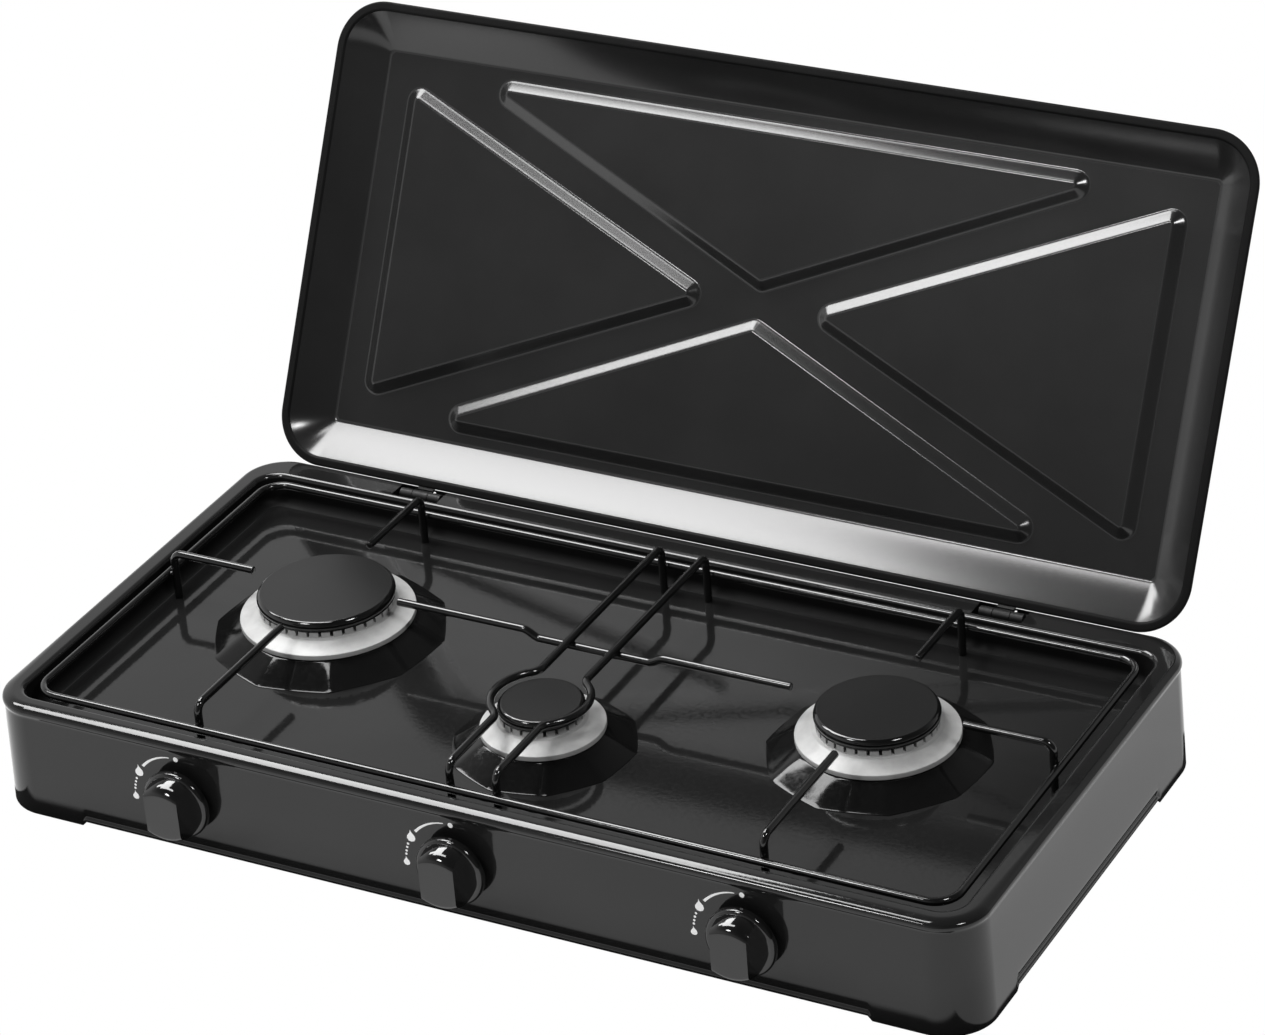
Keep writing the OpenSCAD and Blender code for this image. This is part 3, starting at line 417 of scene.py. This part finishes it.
def buildShell():
    rampX, rampY = ([s * v for s in (-1, 1) for v in shell[key]] for key in ("rampX", "rampY"))
    rows = []
    for bx, by, nx, ny in track(shell["w"], shell["d"], shell["r"], rampX, rampY):
        line = shellLine(footShare(bx, by), clamp((-by - shell["frontFrom"]) / shell["frontRun"]))
        innerLine = offsetLine(line, shell["sheet"])[len(shell["hemLine"]):]
        ring = line + list(reversed(innerLine))
        rows.append([place(bx - i * nx, by - i * ny + backShift(i, by), z) for i, z in ring])
    outerCount = len(line)
    points, faces = grid(rows, closeRow=False, closeColumn=True)
    n = len(rows[0])
    for i in range(len(rows)):  # the rolled hem closes onto the inner skin
        a, b = i * n, ((i + 1) % len(rows)) * n
        faces.append((a, b, b + n - 1, a + n - 1))
    circles = []
    for b in burners.values():
        (x, y), r = b["at"], b["capR"] - shell["holeIn"]
        circles.append([place(x + r * math.cos(t), y + r * math.sin(t), shell["tray"]) for t in around(64)])
    topZ, underZ = shell["tray"] * mm, (shell["tray"] - shell["sheet"]) * mm
    top = flat([r[outerCount - 1] for r in rows], circles, topZ)
    below = flat([r[outerCount] for r in rows], circles, underZ)
    walls = [grid([c, [Vector((p.x, p.y, underZ)) for p in c]]) for c in circles]
    points, faces = merge((points, faces), top, below, *walls)
    piece = addPiece("bodySkin", points, faces, looks["tray"], "stove", "black_enamel", ("body_shell",), 40)
    cutShell(piece)
    soften(piece.data, 40)
    # the tray's wall and the rim behind the lid's hem take the darker copy: painted shade
    piece.data.materials.append(looks["bend"])
    for face in piece.data.polygons:
        face.material_index = 1 if getsPaintedShade(face) else 0


buildShell()

# a dark folded sheet under each hinge notch, standing in for the shaded hollow inside the body: painted shade
well = {"halfW": 22, "front": 132.3, "back": 146.4, "floor": 58.7, "sheet": 0.8, "lip": 61.6, "bend": 1.6}


def wellLine(inset):  # a folded strip: lip, bend and floor
    y, z, r = well["front"] + inset, well["floor"] - well["sheet"] + inset, well["bend"] - inset
    return [(y, well["lip"])] + arc(y + r, z + r, r, 180, 270, 6) + [(well["back"], z)]


def buildShadeWell(side, sign):
    line = wellLine(0) + wellLine(well["sheet"])[::-1]
    middle, n = sign * shell["notchX"], len(line)
    ends = (middle - well["halfW"], middle + well["halfW"])
    points, faces = grid([[place(x, y, z) for y, z in line] for x in ends])
    for a in (0, n):
        faces += [(a + k, a + k + 1, a + n - 2 - k, a + n - 1 - k) for k in range(n // 2 - 1)]
    addPiece(side + "HingeShadeWell", points, faces, looks["fitting"], "stove", "painted_fittings", (), 40)


for side, sign in (("left", -1), ("right", 1)):
    buildShadeWell(side, sign)
print("stage: body made")

lid = {
    "w": 575, "d": 274, "r": 30, "z": 68.4, "sheet": 1, "depth": 17.5, "pivot": (142, 65.2), "angle": -118,
    "cove": 26, "coveW": 28, "coveMore": 2.5, "hemW": 4.2, "flank": (30, 46.3), "flankW": 26, "flankEnd": 4.6,
    "softR": 4, "press": 4, "slope": 8, "cornerR": 9, "lip": 1.2, "flat": 0.9995, "flatArea": 4e-6,
    "hemLine": ((4.3, 0.06), (3.95, 0.02), (3.6, 0.0), (1.4, 0.0), (0.85, 0.06), (0.4, 0.28), (0.1, 0.66),
                (0, 1.05), (0.1, 1.45), (0.4, 1.8), (0.85, 2.0), (1.5, 2.06), (2.6, 2.12), (3.2, 2.5)),
    "triangles": (((-245, -96), (-23, 0), (-245, 96)), ((245, 96), (23, 0), (245, -96)),
                  ((219, -104), (0, -6.4), (-219, -104)), ((-219, 104), (0, 6.4), (219, 104))),
}
pivot = place(0, *lid["pivot"])
openTurn = (Matrix.Translation(pivot) @ Matrix.Rotation(math.radians(lid["angle"]), 4, "X")
            @ Matrix.Translation(-pivot))


def lidLine():
    start = 180 - math.degrees(math.acos((lid["coveW"] - lid["hemW"]) / lid["cove"]))
    low, high = (math.radians(a) for a in lid["flank"])
    wide, depth, soft = lid["flankW"], lid["depth"], lid["softR"]
    r = (wide - lid["flankEnd"]) / (math.sin(high) - math.sin(low))  # the inner flank is flatter than the cove
    inner = [(wide + soft * (math.sin(low) - math.sin(a)), depth - soft * (1 - math.cos(a)))
             for a in (low * k / 8 for k in range(9))]
    knee = inner[-1][1]
    inner += [(wide - r * (math.sin(a) - math.sin(low)), knee + r * (math.cos(a) - math.cos(low)))
              for a in (low + (high - low) * k / 20 for k in range(1, 21))]
    outer = arc(lid["coveW"], depth - lid["cove"], lid["cove"] + lid["sheet"], start - lid["coveMore"], 90, 20)
    return inner + list(lid["hemLine"]) + outer


def insetTriangle(p, radius, s):
    pts = [Vector(q) for q in p]
    area = (pts[1] - pts[0]).cross(pts[2] - pts[0])
    if area < 0:
        pts.reverse()
    sides = [(pts[(k + 1) % 3] - pts[k]).normalized() for k in range(3)]
    normals = [Vector((d.y, -d.x)) for d in sides]  # outwards for an anticlockwise loop
    loop = []
    for k in range(3):
        a, b = normals[k - 1], normals[k]
        centre = pts[k] - (a + b) / (1 + a.dot(b)) * radius
        start = math.atan2(a.y, a.x)
        sweep = (math.atan2(b.y, b.x) - start) % (2 * math.pi)
        for j in range(11):
            t = start + sweep * j / 10
            loop.append(centre + Vector((math.cos(t), math.sin(t))) * (radius - s))
    return loop


def ease(t, a=0.2):
    if t < a:
        return t * t / (2 * a * (1 - a))
    if t > 1 - a:
        return 1 - (1 - t) ** 2 / (2 * a * (1 - a))
    return (t - a / 2) / (1 - a)


def lidSide(border, level):
    parts, outlines = [], []
    for corners in lid["triangles"]:
        rings = []
        for t in (k / 10 for k in range(11)):
            loop = insetTriangle(corners, lid["cornerR"], lid["slope"] * t)
            z = lid["z"] + level - lid["press"] * ease(t)
            rings.append([place(p.x, p.y, z) for p in loop])
        outlines.append(rings[0])
        parts.append(grid(rings))
        parts.append((rings[-1], [tuple(range(len(rings[-1])))]))
    parts.append(flat(border, outlines, (lid["z"] + level) * mm))
    return parts


def buildLid():
    line = lidLine()
    rows = [[place(bx - i * nx, by - i * ny, lid["z"] + z) for i, z in line]
            for bx, by, nx, ny in track(lid["w"], lid["d"], lid["r"])]
    parts = [grid(rows, closeRow=False, closeColumn=True)]
    parts += lidSide([r[0] for r in rows], lid["depth"])
    parts += lidSide([r[-1] for r in rows], lid["depth"] + lid["sheet"])
    points, faces = merge(*parts)
    piece = addPiece("lidSkin", [openTurn @ p for p in points], faces, looks["lid"], "lid", "black_enamel",
                     ("lid_panel",), 44)
    piece.data.materials.append(looks["panel"])
    piece.data.materials.append(looks["bend"])
    facing, closed = openTurn.to_3x3() @ Vector((0, 0, 1)), openTurn.inverted()
    for face in piece.data.polygons:
        isPanel = abs(face.normal.dot(facing)) > lid["flat"] and face.area > lid["flatArea"]
        face.material_index = 1 if isPanel else 0
        if (closed @ face.center).z < (lid["z"] + lid["lip"]) * mm:
            face.material_index = 2  # the hem's edge takes the darker, less glossy enamel: painted shade


buildLid()
print("stage: lid made")

wire = {
    "r": 2.25, "support": 79, "frameZ": 66, "legZ": (50.3, 53.3, 60, 66), "legX": 270.9, "legY": 119.4,
    "bendR": 5.5, "frameW": 550, "frameD": 247, "frameR": 14, "railX": 14, "loopR": 27, "loopBend": 9,
    "drop": 4.1, "riseX": 33, "riseW": 11, "step": 14, "tips": {"large": 47, "medium": 50},
    "weldR": 1.5, "weldSide": 1.6, "weldOut": 2, "weldDrop": 2.1,
}
largeX, mainY = burners["large"]["at"]
mediumX, smallY = burners["medium"]["at"][0], burners["small"]["at"][1]


def fingerPath(leg, way, reach):
    (x, y), (ux, uy), bendR = leg, way, wire["bendR"]
    top = wire["support"] - bendR
    path = [(x, y, z) for z in (*wire["legZ"], top)]
    for k in range(1, 11):
        a = math.radians(90 * k / 10)
        go = bendR * (1 - math.cos(a))
        path.append((x + ux * go, y + uy * go, top + bendR * math.sin(a)))
    span = [bendR + (reach - bendR) * k / 6 for k in range(1, 7)]
    return path + [(x + ux * s, y + uy * s, wire["support"]) for s in span]


def railPath(side):
    r, bendR, x = wire["loopR"], wire["loopBend"], wire["railX"]
    loopY = math.sqrt((r - x) * (r + x + 2 * bendR))
    loopA = math.degrees(math.atan2(loopY, x + bendR))
    front = fingerPath((x, -wire["legY"]), (0, 1), wire["legY"] + smallY - loopY)
    middle = []
    for cx, cy, cr, a0, a1 in ((x + bendR, -loopY, bendR, 180, 180 - loopA), (0, 0, r, -loopA, loopA),
                               (x + bendR, loopY, bendR, 180 + loopA, 180)):
        middle += [(px, py + smallY, wire["support"]) for px, py in arc(cx, cy, cr, a0, a1, 14)[1:]]
    rear = fingerPath((x, wire["legY"]), (0, -1), wire["legY"] - smallY - loopY)
    path = front + middle + list(reversed(rear))[1:]
    return [(side * px, py, pz) for px, py, pz in path]


def crossPath():  # it dips under the two rails
    rise = [(wire["riseX"] + wire["riseW"] * k / 12, -wire["drop"] * 0.5 * (1 + math.cos(math.pi * k / 12)))
            for k in range(13)]
    run = [(largeX + wire["tips"]["large"], 0)] + [(-x, z) for x, z in reversed(rise)]
    run += rise + [(mediumX - wire["tips"]["medium"], 0)]
    dense = []
    for a, b in zip(run, run[1:]):
        n = max(1, int((b[0] - a[0]) / wire["step"]))
        dense += [(a[0] + (b[0] - a[0]) * k / n, a[1] + (b[1] - a[1]) * k / n) for k in range(n)]
    dense.append(run[-1])
    return [(x, mainY, wire["support"] + z) for x, z in dense]


def weldBead(at):
    ball = bmesh.new()
    bmesh.ops.create_uvsphere(ball, u_segments=12, v_segments=8, radius=wire["weldR"] * mm,
                              matrix=Matrix.Translation(place(*at)))
    made = ([v.co.copy() for v in ball.verts], [tuple(v.index for v in f.verts) for f in ball.faces])
    ball.free()
    return made


def legWelds(x):
    legY = wire["legY"] + wire["weldOut"]
    return [(x + s * wire["weldSide"], t * legY, wire["frameZ"]) for s in (-1, 1) for t in (-1, 1)]


def wirePiece(name, paths, stands, welds):
    parts = [tube([place(*p) for p in path], wire["r"] * mm) for path in paths]
    parts += [weldBead(at) for at in welds]
    points, faces = merge(*parts)
    addPiece(name, points, faces, looks["wire"], "grate", "wire_enamel", stands, 40)


def buildGrate():
    rows, up = [], Vector((0, 0, 1))
    for bx, by, nx, ny in track(wire["frameW"], wire["frameD"], wire["frameR"], turn=14):
        at, out = place(bx, by, wire["frameZ"]), Vector((nx, ny, 0))
        rows.append([at + (out * math.cos(a) + up * math.sin(a)) * wire["r"] * mm for a in around(20)])
    points, faces = grid(rows, closeColumn=True)
    addPiece("grateFrameWire", points, faces, looks["wire"], "grate", "wire_enamel",
             ("frame_front_bar", "frame_rear_bar", "frame_left_end", "frame_right_end"), 50)
    legX, legY = wire["legX"], wire["legY"]
    for side, word, burner in ((-1, "left", "large"), (1, "right", "medium")):
        x, tip = burners[burner]["at"][0], wire["tips"][burner]
        paths = [fingerPath((side * legX, mainY), (-side, 0), legX - abs(x) - tip),
                 fingerPath((x, legY), (0, -1), legY - mainY - tip),
                 fingerPath((x, -legY), (0, 1), legY + mainY - tip)]
        welds = [(side * (legX + wire["weldOut"]), mainY + s * wire["weldSide"], wire["frameZ"]) for s in (-1, 1)]
        wirePiece(word + "Fingers", paths, (word + "_grate_fingers",), welds + legWelds(x))
    for side, word in ((-1, "left"), (1, "right")):
        wirePiece(word + "Rail", [railPath(side)], ("grate_" + word + "_rail", word + "_rail_loop"),
                  legWelds(side * wire["railX"]))
    welds = [(s * wire["railX"], mainY + t * wire["weldSide"], wire["support"] - wire["weldDrop"])
             for s in (-1, 1) for t in (-1, 1)]
    wirePiece("crossWire", [crossPath()], ("grate_cross_wire",), welds)


buildGrate()
print("stage: grate made")

burnerSet = {
    "ledge": 10.5, "cone": 16, "cupIn": 9.5, "facets": 10, "turn": 12, "facetIn": 1.4, "facetRun": 3,
    "facetDepth": 0.7, "facetAt": 0.55, "crownZ": 60.7, "crownH": 11, "spigotZ": 53.7, "spigotIn": 2.3,
    "slot": 3.2, "toothIn": 0.9, "toothD": 5, "toothGap": 0.9, "toothTop": 0.35, "toothTrim": 0.3,
    "toothTurn": 0.02, "toothRoot": 0.4, "capZ": 71.9, "capTop": 0.95,
}


def toothBlock(tooth, t, half, top):
    slotFloor, back, points = top - burnerSet["slot"], tooth - burnerSet["toothD"], []
    for z in (slotFloor - burnerSet["toothRoot"], top - burnerSet["toothTop"], top):
        trim = burnerSet["toothTrim"] if z == top else 0
        for r, s in ((back + trim, -1), (tooth - trim, -1), (tooth - trim, 1), (back + trim, 1)):
            a = t + s * (half - trim * burnerSet["toothTurn"])
            points.append(Vector((r * math.cos(a), r * math.sin(a), z)) * mm)
    rings = [[i + 4 * j for i in range(4)] for j in range(3)]
    faces = [(low[i], low[(i + 1) % 4], high[(i + 1) % 4], high[i])
             for low, high in zip(rings, rings[1:]) for i in range(4)]
    return points, faces + [tuple(rings[2]), tuple(reversed(rings[0]))]


def buildBurner(name, b):
    origin = place(*b["at"], 0)
    capR = b["capR"]
    crownR = capR + burnerSet["ledge"]
    ringR = crownR + burnerSet["cone"]
    cupR = capR - burnerSet["cupIn"]
    sharp = math.pi / burnerSet["facets"]

    def lift(part):
        return [p + origin for p in part[0]], part[1]

    def facet(r, t):
        out = r - crownR + burnerSet["facetIn"]
        if out < 0:
            return 1.0
        local = ((t - math.radians(burnerSet["turn"])) % (2 * sharp)) - sharp
        share = min(1.0, out / burnerSet["facetRun"]) * burnerSet["facetDepth"]
        return 1 + share * (math.cos(sharp * burnerSet["facetAt"]) / math.cos(local) - 1)

    ringLine = [(cupR - 1, 59.3), (cupR - 1, 60.4), (cupR - 0.9, 60.5), (crownR - 1.4, 60.5), (crownR - 0.4, 60.2),
                (crownR + 0.6, 59.6), (crownR + 5, 57.0), (crownR + 10, 53.9), (ringR - 2.2, 51.5),
                (ringR - 0.6, 50.55), (ringR, 50.3), (ringR, 50.02), (ringR - 2, 50.02), (crownR - 2, 59.3)]
    cone = lift(lathe(ringLine + ringLine[:1], 144, facet))
    addPiece(name + "DripCone", *cone, looks["ring"], "stove", "black_enamel", (name + "_drip_ring",), 24, origin)
    tooth, spigot, foot = capR - burnerSet["toothIn"], cupR - burnerSet["spigotIn"], burnerSet["spigotZ"]
    base, top = burnerSet["crownZ"], burnerSet["crownZ"] + burnerSet["crownH"]
    slotFloor = top - burnerSet["slot"]
    crownLine = [(spigot - 2, foot), (spigot - 0.3, foot), (spigot, foot + 0.3), (spigot, base), (crownR - 0.4, base),
                 (crownR - 0.1, base + 0.1), (crownR, base + 0.4), (crownR, base + 2.4), (crownR - 0.25, base + 2.85),
                 (crownR - 0.8, base + 3.15), (crownR - 6, base + 4.95), (capR + 1.6, base + 6.85),
                 (capR + 1, base + 6.98), (tooth + 0.7, base + 7.0), (tooth + 0.15, base + 7.2), (tooth, base + 7.6),
                 (tooth, slotFloor), (tooth - burnerSet["toothD"], slotFloor), (spigot - 2, base + 3),
                 (spigot - 2, foot)]
    half = math.pi / b["teeth"] - burnerSet["toothGap"] / tooth
    crown = lift(merge(lathe(crownLine, 144), *[toothBlock(tooth, t, half, top) for t in around(b["teeth"])]))
    addPiece(name + "CrownRing", *crown, looks["crown"], name + "_burner_crown", "turned_aluminium",
             (name + "_crown",), 30, origin)
    z = burnerSet["capZ"]
    capLine = [(0.01, z - 5), (capR - 13, z - 5), (capR - 7.3, z), (capR - 1.2, z), (capR - 0.5, z + 0.25)]
    capLine += arc(capR - 3.4, z + 2.9, 3.4, -38, 52, 12) + arc(capR - 2.4, z + 4.9, 1.1, 58, 88, 5)
    capLine += [(capR - 3, z + 6.0), (capR - 4.2, z + 5.97), (capR * 0.6, z + 5.98), (0.01, z + 6.0)]
    disc = addPiece(name + "CapDisc", *lift(lathe(capLine, 128)), looks["cap"], name + "_burner_cap", "cap_enamel",
                    (name + "_cap",), 50, origin)
    # faces that don't point up take the darker copy: painted shade on the cap's sides
    disc.data.materials.append(looks["capEdge"])
    for face in disc.data.polygons:
        face.material_index = 1 if face.normal.z < burnerSet["capTop"] else 0


for burnerName, burner in burners.items():
    buildBurner(burnerName, burner)
print("stage: burners made")

knob = {
    "r": 20, "disc": 5, "edgeR": 2.2, "hub": 6, "back": -147.58, "z": 34, "length": 16.5, "gripW": 21,
    "face": 12.5, "end": 18.4, "hollow": 0.024, "foot": 3.6, "root": 2.5, "bevel": 0.0009, "bevelAngle": 38,
    "dome": (90, 84, 76, 66, 54, 42, 30, 18, 8), "flats": (-1, -0.5, 0, 0.5, 1),
}
markSet = {
    "r": 23.6, "grow": 0.073, "proud": 0.06, "off": (4, 1.5), "stroke": (14, 58), "thin": 0.6, "thick": 1.6,
    "dots": (78, 82.5, 87, 91), "dotR": 0.7, "flames": ((68, 5.6), (100, 4.2)), "tilt": 6,
    "flame": ((0, -0.5), (0.3, -0.42), (0.46, -0.15), (0.42, 0.12), (0.26, 0.34), (0.1, 0.55), (0.02, 0.8),
              (-0.06, 0.52), (-0.24, 0.3), (-0.42, 0.1), (-0.46, -0.15), (-0.3, -0.42)),
}


def onKnob(x, u, v, depth):
    return place(x + u, knob["back"] - depth, knob["z"] + v)


def gripRows():
    half, foot = knob["gripW"] / 2, knob["foot"]
    dome = [math.sin(math.radians(a)) for a in knob["dome"]]
    bands = [(-1, d) for d in dome] + [(k, 0) for k in knob["flats"]] + [(1, d) for d in reversed(dome)]
    rows = []
    for share, d in bands:
        sign = -1 if share < 0 else 1
        h = foot + (knob["length"] - foot) * math.sqrt(max(0.0, 1 - d * d))
        row = []
        for u in np.linspace(-half, half, 17):
            edge, end = knob["face"] - knob["hollow"] * u * u, math.sqrt(knob["end"] ** 2 - u * u)
            row.append((u, share * edge + sign * d * (end - edge), h))
        rows.append(row)
    return rows


def buildKnob(name, x):
    r, thick, edgeR = knob["r"], knob["disc"], knob["edgeR"]
    discLine = [(0.01, 0.0), (r - 1, 0.0), (r - 0.3, 0.25), (r, 0.8), (r, 2.6)]
    discLine += arc(r - edgeR, thick - edgeR, edgeR, 4, 84, 12)
    discLine += [(r - 3.6, thick), (knob["hub"], thick), (0.01, thick)]
    disc = grid([[onKnob(x, a * math.cos(t), a * math.sin(t), h) for t in around(96)] for a, h in discLine])
    addPiece(name + "KnobDisc", *disc, looks["knob"], name + "_turn", "knob_plastic", (name + "_knob",), 50)
    top = gripRows()
    loop = top[0] + [row[-1] for row in top[1:]] + top[-1][-2::-1] + [row[0] for row in top[-2:0:-1]]
    walls = grid([[onKnob(x, u, v, h) for u, v, h in loop], [onKnob(x, u, v, knob["root"]) for u, v, h in loop]])
    grip = merge(grid([[onKnob(x, *p) for p in row] for row in top], closeRow=False), walls)
    bar = addPiece(name + "KnobGrip", *grip, looks["knob"], name + "_turn", "knob_plastic", (), 40)
    soft = bar.modifiers.new("edges", "BEVEL")
    soft.width, soft.segments, soft.limit_method = knob["bevel"], 4, "ANGLE"
    soft.angle_limit = math.radians(knob["bevelAngle"])


def buildMarks(name, x):
    parts = []

    def onPanel(q):
        z = knob["z"] + q[1]
        return place(x + q[0], -shell["d"] / 2 + shellLean(z) - markSet["proud"], z)

    def patch(loop):
        parts.append(([onPanel(q) for q in loop], [tuple(range(len(loop)))]))

    def spot(angle, off=0.0):
        r, a = markSet["r"] + markSet["grow"] * angle + off, math.radians(90 + angle)
        return Vector((r * math.cos(a), r * math.sin(a)))

    def disc(angle, r):
        patch([spot(angle) + Vector((r * math.cos(t), r * math.sin(t))) for t in around(24)])

    def stroke(start, end, thin, thick):
        steps = [(start + (end - start) * k / 24, thin + (thick - thin) * k / 24) for k in range(25)]
        parts.append(grid([[onPanel(spot(a, side * w)) for a, w in steps] for side in (-0.5, 0.5)], closeRow=False))

    disc(*markSet["off"])
    stroke(*markSet["stroke"], markSet["thin"], markSet["thick"])
    for angle in markSet["dots"]:
        disc(angle, markSet["dotR"])
    for angle, size in markSet["flames"]:
        tilt = math.radians(markSet["tilt"])
        patch([spot(angle) + Vector(bend((u * size, v * size), tilt)) for u, v in markSet["flame"]])
    addPiece(name + "Marks", *merge(*parts), looks["ink"], "stove", "knob_plastic", (), 60)


for knobName, x in knobX.items():
    buildKnob(knobName, x)
    buildMarks(knobName, x)
print("stage: knobs made")

hingeParts = ("_hinge_bracket", "_hinge_leaf", "_hinge_pin")
cadLooks = {
    "fitting": [side + part for side in ("left", "right") for part in hingeParts] + ["rail_brackets"],
    "steel": [k + part for k in knobX for part in ("_tap_spindle", "_thrust_washer")]
             + ["bracket_rivets", "burner_screws"],
    "brass": [k + "_tap_body" for k in knobX] + [b + "_injector" for b in burners]
             + ["rail_plugs", "hose_nozzle", "nozzle_nut"],
    "zinc": [b + "_mixing_tube" for b in burners] + ["gas_rail", "feed_pipe"],
    "cast": [b + "_burner_cup" for b in burners],
}
edgeSet = {"width": 0.00025, "segments": 2, "angle": 40}
for look, nodeNames in cadLooks.items():
    for nodeName in nodeNames:
        node = nodes[nodeName]
        node.data.materials.clear()
        node.data.materials.append(looks[look])
        edge = node.modifiers.new("edges", "BEVEL")
        edge.width, edge.segments, edge.limit_method = edgeSet["width"], edgeSet["segments"], "ANGLE"
        edge.angle_limit = math.radians(edgeSet["angle"])
print("stage: fittings dressed")

studio = {"toward": (-0.8, 0.35, 0), "side": (-0.6, 0.7), "share": (0.12, 1.1),
          "heights": ((0.0, 1.0), (0.42, 0.9), (0.52, 0.78), (0.6, 0.52), (0.75, 0.2), (1.0, 0.06))}
world = bpy.data.worlds.new("studio")
bpy.context.scene.world = world
world.use_nodes = True
sky = nodeSet(world, "Background")
viewWay = sky["add"]("ShaderNodeTexCoord").outputs["Generated"]
height = sky["add"]("ShaderNodeSeparateXYZ")
sky["join"](viewWay, height.inputs[0])
levels = sky["add"]("ShaderNodeValToRGB")
sky["join"](height.outputs["Z"], levels.inputs["Fac"])
stops = levels.color_ramp.elements
for position, level in studio["heights"]:
    ends = {0.0: 0, 1.0: len(stops) - 1}
    stop = stops[ends[position]] if position in ends else stops.new(position)
    stop.color = (level, level, level, 1)
sideways = sky["add"]("ShaderNodeVectorMath", operation="DOT_PRODUCT")
sideways.inputs[1].default_value = studio["toward"]
sky["join"](viewWay, sideways.inputs[0])
shade = mapRange(sky, sideways.outputs["Value"], studio["side"], studio["share"])
pick = sky["add"]("ShaderNodeMix", data_type="RGBA")  # the camera sees white, the object a graded studio
pick.inputs["B"].default_value = (1, 1, 1, 1)
sky["join"](reckon(sky, "MULTIPLY", shade, levels.outputs["Color"]), pick.inputs["A"])
sky["join"](sky["add"]("ShaderNodeLightPath").outputs["Is Camera Ray"], pick.inputs["Factor"])
sky["join"](pick.outputs["Result"], sky["shader"].inputs["Color"])

lightSet = {
    "boxes": (("topSoftbox", -0.86, 0.35, (0.72, 0.94)), ("leftWing", -1.52, 0.3, (0.6, 0.3)),
              ("rightWing", -0.31, -0.035, (0.38, 0.17))),
    "boxZ": 1.5, "perArea": 53.4, "spots": (("leftSpot", -26), ("rightSpot", 70)), "spotEl": 52, "spotFar": 1.7,
    "spotAim": (0, 0, 0.06), "spotSize": 0.26, "spotPower": 9,
}


def addLight(name, at, aim, size, power):
    data = bpy.data.lights.new(name, "AREA")
    data.shape, data.size, data.size_y, data.energy = "RECTANGLE", size[0], size[1], power
    lamp = bpy.data.objects.new(name, data)
    bpy.context.scene.collection.objects.link(lamp)
    lamp.location = at
    lamp.rotation_euler = (Vector(aim) - Vector(at)).to_track_quat("-Z", "Y").to_euler()


for name, x, y, size in lightSet["boxes"]:
    addLight(name, (x, y + midY, lightSet["boxZ"]), (x, y + midY, 0), size, lightSet["perArea"] * size[0] * size[1])
for name, azimuth in lightSet["spots"]:
    a, e = math.radians(azimuth), math.radians(lightSet["spotEl"])
    at = Vector((math.sin(a) * math.cos(e), -math.cos(a) * math.cos(e), math.sin(e))) * lightSet["spotFar"]
    addLight(name, at, lightSet["spotAim"], (lightSet["spotSize"],) * 2, lightSet["spotPower"])

floorSet = {"half": 6, "drop": 0.0004, "rough": 0.9, "tone": 0.3, "near": (0.011, 0.018), "shade": (0.03, 0.85),
            "under": (("X", 0, 0.296, 4), ("Y", midY + 0.003, 0.148, 1))}
half = floorSet["half"]
floorMesh = bpy.data.meshes.new("floor")
floorMesh.from_pydata([(-half, -half, 0), (half, -half, 0), (half, half, 0), (-half, half, 0)], [], [(0, 1, 2, 3)])
floor = bpy.data.objects.new("floor", floorMesh)
bpy.context.scene.collection.objects.link(floor)
floor.location.z = -floorSet["drop"]
paper = bpy.data.materials.new("paper")
paper.use_nodes = True
sheet = nodeSet(paper)
matt = sheet["shader"]
matt.inputs["Roughness"].default_value = floorSet["rough"]
matt.inputs["Specular IOR Level"].default_value = 0.0
matt.inputs["Emission Color"].default_value = (1, 1, 1, 1)
ways = sheet["add"]("ShaderNodeSeparateXYZ")
sheet["join"](sheet["add"]("ShaderNodeTexCoord").outputs["Object"], ways.inputs[0])
reach = []
for axis, centre, extent, weight in floorSet["under"]:  # how far a point lies outside the stove's footprint
    off = reckon(sheet, "ABSOLUTE", reckon(sheet, "SUBTRACT", ways.outputs[axis], centre))
    reach.append(reckon(sheet, "MULTIPLY", reckon(sheet, "SUBTRACT", off, extent), weight))
nearest = reckon(sheet, "MAXIMUM", *reach)
shadow = mapRange(sheet, nearest, floorSet["near"], floorSet["shade"], "SMOOTHSTEP")
sheet["join"](reckon(sheet, "MULTIPLY", shadow, floorSet["tone"]), matt.inputs["Base Color"])
sheet["join"](shadow, matt.inputs["Emission Strength"])
plain = sheet["add"]("ShaderNodeEmission")
choice = sheet["add"]("ShaderNodeMixShader")  # the camera sees plain white, the object a shaded floor
sheet["join"](sheet["add"]("ShaderNodeLightPath").outputs["Is Camera Ray"], choice.inputs["Fac"])
sheet["join"](matt.outputs[0], choice.inputs[1])
sheet["join"](plain.outputs[0], choice.inputs[2])
sheet["join"](choice.outputs[0], paper.node_tree.nodes["Material Output"].inputs["Surface"])
floorMesh.materials.append(paper)
print("stage: studio made")

shot = {"az": 30.37, "el": 29.70, "roll": -4.74, "distance": 2535.91, "target": (39.3, 0, 173.7), "lens": 137.28,
        "sensor": 36, "clip": (0.05, 50)}
az, el, roll = (math.radians(shot[k]) for k in ("az", "el", "roll"))
behind = Vector((math.sin(az) * math.cos(el), -math.cos(az) * math.cos(el), math.sin(el)))
right = (-behind).cross(Vector((0, 0, 1))).normalized()
up = right.cross(-behind)
across = right * math.cos(roll) + up * math.sin(roll)
above = up * math.cos(roll) - right * math.sin(roll)
cameraData = bpy.data.cameras.new("camera")
cameraData.lens, cameraData.sensor_width, cameraData.sensor_fit = shot["lens"], shot["sensor"], "HORIZONTAL"
cameraData.clip_start, cameraData.clip_end = shot["clip"]
camera = bpy.data.objects.new("camera", cameraData)
bpy.context.scene.collection.objects.link(camera)
turn = Matrix((across, above, behind)).transposed()
camera.matrix_world = Matrix.Translation(place(*shot["target"]) + behind * shot["distance"] * mm) @ turn.to_4x4()
bpy.context.scene.camera = camera
bpy.context.scene.view_settings.view_transform = "Standard"

print("stage: done")
